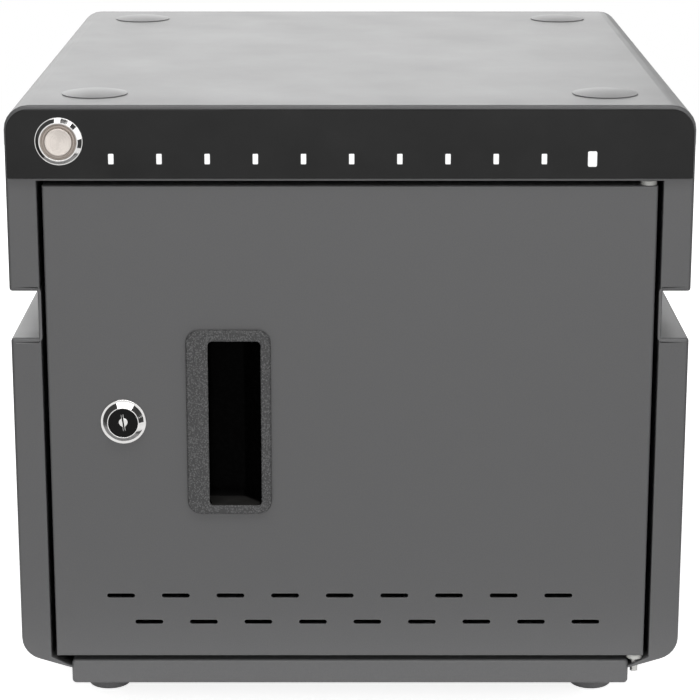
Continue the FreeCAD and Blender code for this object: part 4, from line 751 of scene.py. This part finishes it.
def make_lock():
    """Ring turned about the lock's axis, a flat rim round a cone that rises to the plug; the plug lofted from
    its rim to the keyhole and down it; and the shutter's two leaves.
    """
    centre = axis_of("lock_housing")
    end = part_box("lock_housing")[1].y
    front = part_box("door_panel")[0].y
    ring, bore = half_width("lock_housing"), PLUG_RADIUS + RUNNING_GAP
    corners = [(bore, end), (LOCK_BARREL_RADIUS, end), (LOCK_BARREL_RADIUS, front), (ring, front),
               (LOCK_RIM_OUTER, front - LOCK_RIM_PROUD), (LOCK_RIM_INNER, front - LOCK_RIM_PROUD),
               (LOCK_BEAD_RADIUS, front - LOCK_BEAD_PROUD), (bore, front - LOCK_BEAD_PROUD)]
    rounds = (0, 0, 0, LOCK_BREAK, LOCK_RIM_ROUND, LOCK_BREAK, LOCK_BEAD_ROUND, LOCK_BREAK)
    profile = softened(corners, rounds)
    piece("rimmed_lock_ring", skin(turned(profile, centre), closed=True), "door", ["lock_housing"],
          finishes["chrome_trim"])
    face, shoulder, tail = front - PLUG_PROUD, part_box("lock_cam")[0].y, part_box("lock_plug")[1].y
    turn = np.linspace(0, np.pi / 2, ROUNDING_STEPS)
    loops = [polar_loop(centre, PLUG_RADIUS, shoulder)]
    loops += [polar_loop(centre, PLUG_RADIUS - PLUG_EDGE * (1 - np.cos(a)),
                         face + PLUG_EDGE * (1 - np.sin(a))) for a in turn]
    loops += [polar_loop(centre, PLUG_RADIUS - PLUG_EDGE - SUPPORT / 2, face),
              polar_loop(centre, keyhole(KEYWAY_BREAK + SUPPORT / 5), face),
              polar_loop(centre, keyhole(KEYWAY_BREAK), face),
              polar_loop(centre, keyhole(), face + KEYWAY_BREAK),
              polar_loop(centre, keyhole(), face + KEYWAY_DEPTH)]
    square = [rounded_loop(centre[0] - TAIL_SQUARE, centre[0] + TAIL_SQUARE, centre[1] - TAIL_SQUARE,
                           centre[1] + TAIL_SQUARE, TAIL_EDGE, y) for y in (shoulder, tail)]
    piece("lock_plug_turned", skin(np.stack(loops), np.stack(square), capped=True), "lock", ["lock_plug"],
          finishes["plug_black"])
    leaves = [shutter_leaf(centre, face + SHUTTER_SINK, side) for side in (-1, 1)]
    piece("keyway_shutter", skin(*leaves, capped=True), "lock", ["lock_plug"],
          finishes["chrome_trim"])


# Recessed handle

HANDLE_CORNER = 0.007
HANDLE_ROUND = 0.0012
HANDLE_OVERLAP = 0.0026        # flange past the cut-out in the door
HANDLE_WALL = 0.0016
HANDLE_BACK_EDGE = 0.0006
MOUTH_LEFT = 0.0116            # flange's edges to the mouth
MOUTH_RIGHT = 0.0053
MOUTH_LOW = 0.0049
MOUTH_HIGH = 0.0060
MOUTH_CORNER = 0.0022
MOUTH_ROUND = 0.0007
POCKET_TAPER = 0.0085          # how far the right wall leans in
POCKET_ROOF = 0.0022
POCKET_FOOT = ((0.001, 0.0, 0.92), (0.0003, 0.0004, 1.0), (0.0, 0.0011, 1.0))


def make_handle():
    """Closed loft of rounded rectangles: up the back of the cup, out round the flange, over its rounded edge
    (sine and cosine of a quarter turn), across to the mouth and down the pocket, which runs on to the left
    behind the flange and leans in on the right. At its foot each row has a height over the floor, a
    draw-in and a share of the lean.
    """
    low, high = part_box("handle_cup")
    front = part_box("door_panel")[0].y
    flange = low.y

    def loop(y, inset, corner):
        return rounded_loop(low.x + inset, high.x - inset, low.z + inset, high.z - inset, corner, y)

    def mouth(y, grow, left=0.0, right=0.0):
        return rounded_loop(low.x + MOUTH_LEFT - grow - left, high.x - MOUTH_RIGHT + grow - right,
                            low.z + MOUTH_LOW - grow, high.z - MOUTH_HIGH + grow, MOUTH_CORNER + grow, y)

    turn = np.linspace(0, np.pi / 2, ROUNDING_STEPS)
    body = HANDLE_CORNER - HANDLE_OVERLAP
    loops = [loop(high.y, HANDLE_OVERLAP + HANDLE_BACK_EDGE, body),
             loop(high.y - HANDLE_BACK_EDGE, HANDLE_OVERLAP, body),
             loop(front, HANDLE_OVERLAP, body), loop(front, 0.0, HANDLE_CORNER)]
    loops += [loop(flange + HANDLE_ROUND * (1 - np.sin(a)), HANDLE_ROUND * (1 - np.cos(a)),
                   HANDLE_CORNER - HANDLE_ROUND * (1 - np.cos(a))) for a in turn]
    loops += [loop(flange, HANDLE_ROUND + SUPPORT, HANDLE_CORNER - HANDLE_ROUND - SUPPORT),
              mouth(flange, MOUTH_ROUND + SUPPORT)]
    loops += [mouth(flange + MOUTH_ROUND * (1 - np.cos(a)), MOUTH_ROUND * (1 - np.sin(a))) for a in turn]
    deep = high.y - HANDLE_WALL
    hidden = MOUTH_LEFT - HANDLE_OVERLAP - HANDLE_WALL
    loops += [mouth(front + POCKET_ROOF, 0.0), mouth(front + POCKET_ROOF, 0.0, hidden)]
    loops += [mouth(deep - rise, -inset, hidden, POCKET_TAPER * lean) for rise, inset, lean in POCKET_FOOT]
    made = piece("moulded_handle", skin(np.stack(loops), capped=True), "door", ["handle_cup"],
                 finishes["handle_plastic"])
    # the pocket's faces get a near-black, almost unreflective finish: painted shade for the deep recess,
    # darker than the handle's own plastic
    made.data.materials.append(plastic("pocket_painted_shade", (0.001, 0.001, 0.001), (0.002, 0.002, 0.002), 400.0,
                                       0.00005, 0.12, 0.22, gloss=0.01))
    centres = np.empty(3 * len(made.data.polygons))
    made.data.polygons.foreach_get("center", centres)
    x, y, z = centres.reshape(-1, 3).T
    inside = (y > flange + MOUTH_ROUND / 2) & (y < deep + MERGE)
    inside &= (x > low.x + HANDLE_OVERLAP + HANDLE_WALL / 2) & (x < high.x - MOUTH_RIGHT + MERGE)
    inside &= (z > low.z + MOUTH_LOW - MERGE) & (z < high.z - MOUTH_HIGH + MERGE)
    made.data.polygons.foreach_set("material_index", inside.astype(np.int32))


# Front lights

LIGHT_COUNT = 10
LIGHT_WIDTH = 0.0027
LIGHT_HEIGHT = 0.0053
LIGHT_ROUND = 0.0004
STATUS_WIDTH = 0.0046
STATUS_ROUND = 0.0008
WINDOW_CROWN = 0.00012
WINDOW_DRAW = 0.6              # share of the corner that the front edge draws in


def window(x, z, width, height, corner, front, back):
    """Light pipe as a loft of rounded rectangles, its front edge drawn in and crowned along a quarter
    turn.
    """
    half_x, half_z = width / 2, height / 2
    turn = np.linspace(0, np.pi / 2, 4)
    inset = [0.0, *(corner * WINDOW_DRAW * (1 - np.cos(turn)))]
    depth = [back, *(front + WINDOW_CROWN - 2 * WINDOW_CROWN * np.sin(turn))]
    return np.stack([rounded_loop(x - half_x + s, x + half_x - s, z - half_z + s, z + half_z - s, corner, y)
                     for s, y in zip(inset, depth)])


def make_lights():
    """Ten small windows at even steps and a larger one at the end of the row."""
    low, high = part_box("light_pipes")
    z = (low.z + high.z) / 2
    places = np.linspace(low.x + LIGHT_WIDTH / 2, high.x - STATUS_WIDTH / 2, LIGHT_COUNT + 1)
    parts = [window(x, z, LIGHT_WIDTH, LIGHT_HEIGHT, LIGHT_ROUND, low.y, high.y) for x in places[:-1]]
    parts.append(window(places[-1], z, STATUS_WIDTH, high.z - low.z, STATUS_ROUND, low.y, high.y))
    piece("light_windows", skin(*parts, capped=True), "cabinet", ["light_pipes"],
          finishes["light_white"])


# Pads and feet

FEET = ("foot_front_left", "foot_front_right", "foot_rear_left", "foot_rear_right")
PAD_STUD = 0.004
PAD_EDGE = 0.0004              # height of the rolled edge
PAD_BREAK = 0.0002
FOOT_BORE = 0.0056
FOOT_BORE_DEPTH = 0.008
FOOT_TAPER = 0.0015            # how much smaller the sole is in radius
FOOT_SWELL = 0.0004            # from the sole to the waist
FOOT_WAIST = 0.006             # height of the waist
FOOT_COLLAR = 0.0105           # height where the collar starts
FOOT_ROUNDS = (0, 0.0004, 0.0008, 0.0018, 0.002, 0.0012, 0.0004, 0)


def foot_middle(node):
    """(x, y) of the middle of a foot."""
    low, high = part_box(node)
    return (low.x + high.x) / 2, (low.y + high.y) / 2


def make_pads():
    """Stacking pads above the feet: a dome that falls with the square of the radius to a rolled edge."""
    low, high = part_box("stacking_pads")
    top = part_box("outer_shell")[1].z
    radius = high.x - foot_middle(FEET[1])[0]
    share = np.linspace(1, 0, 20)
    edge = top + PAD_EDGE
    dome = np.stack([radius * share, edge + (high.z - edge) * (1 - share ** 2)], -1)
    under = [(0, low.z), (PAD_STUD, low.z), (PAD_STUD, top), (radius - PAD_BREAK, top),
             (radius, top + PAD_BREAK)]
    profile = np.concatenate([under, dome])
    for number, node in enumerate(FEET, 1):
        piece(f"stacking_pad_{number}", skin(turned(profile, foot_middle(node), upright=True)), "cabinet",
              ["stacking_pads"], finishes["pad_grey"])


def make_feet():
    """Rubber feet: a tapered profile with a rolled collar, a swept-in side and a bored sole, turned
    upright.
    """
    for node in FEET:
        low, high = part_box(node)
        wide = half_width(node)
        sole = wide - FOOT_TAPER
        corners = [(0, FOOT_BORE_DEPTH), (FOOT_BORE, FOOT_BORE_DEPTH), (FOOT_BORE, low.z), (sole, low.z),
                   (sole + FOOT_SWELL, FOOT_WAIST), (wide, FOOT_COLLAR), (wide, high.z), (0, high.z)]
        profile = softened(corners, FOOT_ROUNDS)
        piece("rubber_" + node, skin(turned(profile, foot_middle(node), upright=True)), "cabinet", [node],
              finishes["foot_rubber"])


# Fan

FAN_BLADES = 7
FAN_HUB = 0.017
FAN_BORE = 0.0016
FAN_DISH = (0.0085, 0.00935)    # radii of the hollow in the hub's face, at its floor and edge
FAN_DISH_DEPTH = 0.0006
FAN_WEB = 0.002                # face of the hub down to the end of its bore
FAN_ROUNDS = (0, 0.0004, 0.0016, 0.0002, 0.0002, 0, 0, 0)
BLADE_THICK = 0.0016
BLADE_ROOT = 0.0006            # how far the blades run into the hub
BLADE_CHORD = (0.0192, 0.0276)                         # at the hub and at the tip
BLADE_PITCH = (math.radians(48), math.radians(27))     # at the hub and at the tip
BLADE_SWEEP = 0.45


def fan_blade(centre, middle, tip, start):
    """Swept blade: a lens-shaped section, half thickness times the root of 1 - c^2 at chord share c, carried
    from the hub to the tip while its pitch falls and its middle sweeps round with the square of the way out.
    """
    way = np.linspace(0, 1, 14)[:, None]
    round_section = np.linspace(0, 2 * np.pi, 28, endpoint=False)[None, :]
    root = FAN_HUB - BLADE_ROOT
    radius = root + (tip - root) * way
    pitch = BLADE_PITCH[0] + (BLADE_PITCH[1] - BLADE_PITCH[0]) * way
    chord = BLADE_CHORD[0] + (BLADE_CHORD[1] - BLADE_CHORD[0]) * way
    along = chord / 2 * np.cos(round_section)
    thick = BLADE_THICK / 2 * np.sin(round_section)
    sideways = along * np.cos(pitch) - thick * np.sin(pitch)
    depth = middle + along * np.sin(pitch) + thick * np.cos(pitch)
    angle = start + BLADE_SWEEP * way ** 2 + sideways / radius
    return np.stack([centre[0] + radius * np.sin(angle), depth, centre[1] + radius * np.cos(angle)], -1)


def make_fan():
    """Rotor: a cupped hub turned about the fan's axis and seven swept blades."""
    centre = axis_of("fan_rotor")
    near, far = (corner.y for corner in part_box("fan_rotor"))
    tip = half_width("fan_rotor")
    floor, web = far - FAN_DISH_DEPTH, far - FAN_WEB
    corners = [(FAN_BORE, near), (FAN_HUB, near), (FAN_HUB, far), (FAN_DISH[1], far), (FAN_DISH[0], floor),
               (0, floor), (0, web), (FAN_BORE, web)]
    hub = softened(corners, FAN_ROUNDS)
    blades = [fan_blade(centre, (near + far) / 2, tip, 2 * np.pi * i / FAN_BLADES) for i in range(FAN_BLADES)]
    vertices, faces = skin(turned(hub, centre), closed=True)
    blade_vertices, blade_faces = skin(*blades, capped=True)
    both = np.concatenate([vertices, blade_vertices]), np.concatenate([faces, blade_faces + len(vertices)])
    piece("swept_rotor", both, "fan", ["fan_rotor"], finishes["fan_plastic"])


make_case()
make_plinth()
make_button()
make_lock()
make_handle()
make_lights()
make_pads()
make_feet()
make_fan()


# Studio

PAPER_HALF = 0.42
PAPER_REACH = 1.8
PAPER_WHITE = 0.8              # what the paper shows the camera above its own lit level
PAPER_MIRRORED = 0.15          # and what it shows in reflections
WORLD_LIGHT = 0.45
ROOM_DIM = 0.05                # the room's sides and ceiling in reflections
ROOM_TURN = (0.6, 0.85)        # share of the way that runs along Y, where it goes from dim to white
LAMP_AIM = (0.0, 0.0, 0.17)
LAMPS = {                      # place, what it is turned to, width, height, watts
    "front_box": ((0.3, -2.3, 0.9), LAMP_AIM, 2.0, 1.4, 10.5),
    "brow_box": ((0.0, -0.68, 1.6), LAMP_AIM, 1.8, 0.4, 10),
    "top_box": ((-0.39, -0.32, 1.6), LAMP_AIM, 0.6, 0.3, 1.4),
    "side_box": ((1.6, -0.25, 0.8), LAMP_AIM, 0.7, 1.2, 4),
    "back_box": ((-0.62, 1.95, 0.9), (0, 0, 0.32), 2.4, 1.0, 11.3),
    "low_strip": ((0.0, -0.228, 0.014), (0.0, -0.19, 0.018), 0.5, 0.01, 0.034),
}


def make_floor():
    """Strip of pale paper that reads as the white background to the camera, shows dimmer in reflections
    and keeps a soft shadow.
    """
    corners = [(-PAPER_HALF, -PAPER_REACH, 0.0), (PAPER_HALF, -PAPER_REACH, 0.0),
               (PAPER_HALF, PAPER_REACH, 0.0), (-PAPER_HALF, PAPER_REACH, 0.0)]
    mesh = bpy.data.meshes.new("floor")
    mesh.from_pydata(corners, [], [(0, 1, 2, 3)])
    floor = bpy.data.objects.new("floor", mesh)
    bpy.context.scene.collection.objects.link(floor)
    material, tree, shader = new_finish("floor_paper", Roughness=0.9, Emission_Color=(1, 1, 1, 1))
    place = add(tree, "ShaderNodeTexCoord").outputs["Object"]
    fibre = remap(tree, noise(tree, place, 30.0, 4.0), 0.3, 0.7, 0.0, 1.0)
    tree.links.new(tint(tree, fibre, (0.80, 0.80, 0.80), (0.82, 0.82, 0.82)), shader["Base Color"])
    seen = add(tree, "ShaderNodeLightPath").outputs
    plain = math_node(tree, "MAXIMUM", seen["Is Camera Ray"], seen["Is Transmission Ray"])
    plain = math_node(tree, "MULTIPLY", plain, PAPER_WHITE)
    mirrored = math_node(tree, "MULTIPLY", seen["Is Glossy Ray"], PAPER_MIRRORED)
    tree.links.new(math_node(tree, "MAXIMUM", plain, mirrored), shader["Emission Strength"])
    mesh.materials.append(material)


def make_world():
    """White to the camera. In reflections the room is white behind and in front and dims round the sides and
    overhead, where only the lamps show. As light it is plain.
    """
    world = bpy.data.worlds.new("studio")
    bpy.context.scene.world = world
    world.use_nodes = True
    tree = world.node_tree
    seen = add(tree, "ShaderNodeLightPath").outputs
    direction = add(tree, "ShaderNodeTexCoord").outputs["Generated"]
    way = add(tree, "ShaderNodeSeparateXYZ", {"Vector": direction}).outputs
    facing = math_node(tree, "ABSOLUTE", way["Y"])
    room = remap(tree, facing, *ROOM_TURN, ROOM_DIM, 1.0)
    mirrored = math_node(tree, "MULTIPLY", seen["Is Glossy Ray"], room)
    white = math_node(tree, "MAXIMUM", seen["Is Camera Ray"], seen["Is Transmission Ray"])
    shown = math_node(tree, "MAXIMUM", white, mirrored)
    lighting = math_node(tree, "MULTIPLY", seen["Is Diffuse Ray"], WORLD_LIGHT)
    strength = math_node(tree, "MAXIMUM", shown, lighting)
    tree.links.new(strength, tree.nodes["Background"].inputs["Strength"])
    tree.nodes["Background"].inputs["Color"].default_value = (1, 1, 1, 1)


def softbox(name, place, target, width, height, power, mirrored=True):
    """Soft rectangular lamp at a place, turned to its target and unseen by the camera itself. Mirrored lamps
    show in reflections.
    """
    lamp = bpy.data.lights.new(name, "AREA")
    lamp.shape = "RECTANGLE"
    lamp.size, lamp.size_y, lamp.energy = width, height, power
    box = bpy.data.objects.new(name, lamp)
    bpy.context.scene.collection.objects.link(box)
    box.location = place
    aim = np.subtract(target, place)
    box.rotation_euler = Vector(aim).to_track_quat("-Z", "Y").to_euler()
    box.visible_camera = False
    box.visible_glossy = mirrored


def make_camera():
    """Camera in front of the door, above the top sheet, looking slightly down."""
    data = bpy.data.cameras.new("camera")
    data.sensor_width, data.lens = 36.0, CAMERA_LENS
    camera = bpy.data.objects.new("camera", data)
    camera.location = CAMERA_PLACE
    camera.rotation_euler = (math.pi / 2 - CAMERA_PITCH, 0, 0)
    bpy.context.scene.collection.objects.link(camera)
    bpy.context.scene.camera = camera


make_floor()
make_world()
for name, values in LAMPS.items():
    softbox(name, *values, mirrored=name != "low_strip")
make_camera()
bpy.context.scene.view_settings.view_transform = "Standard"
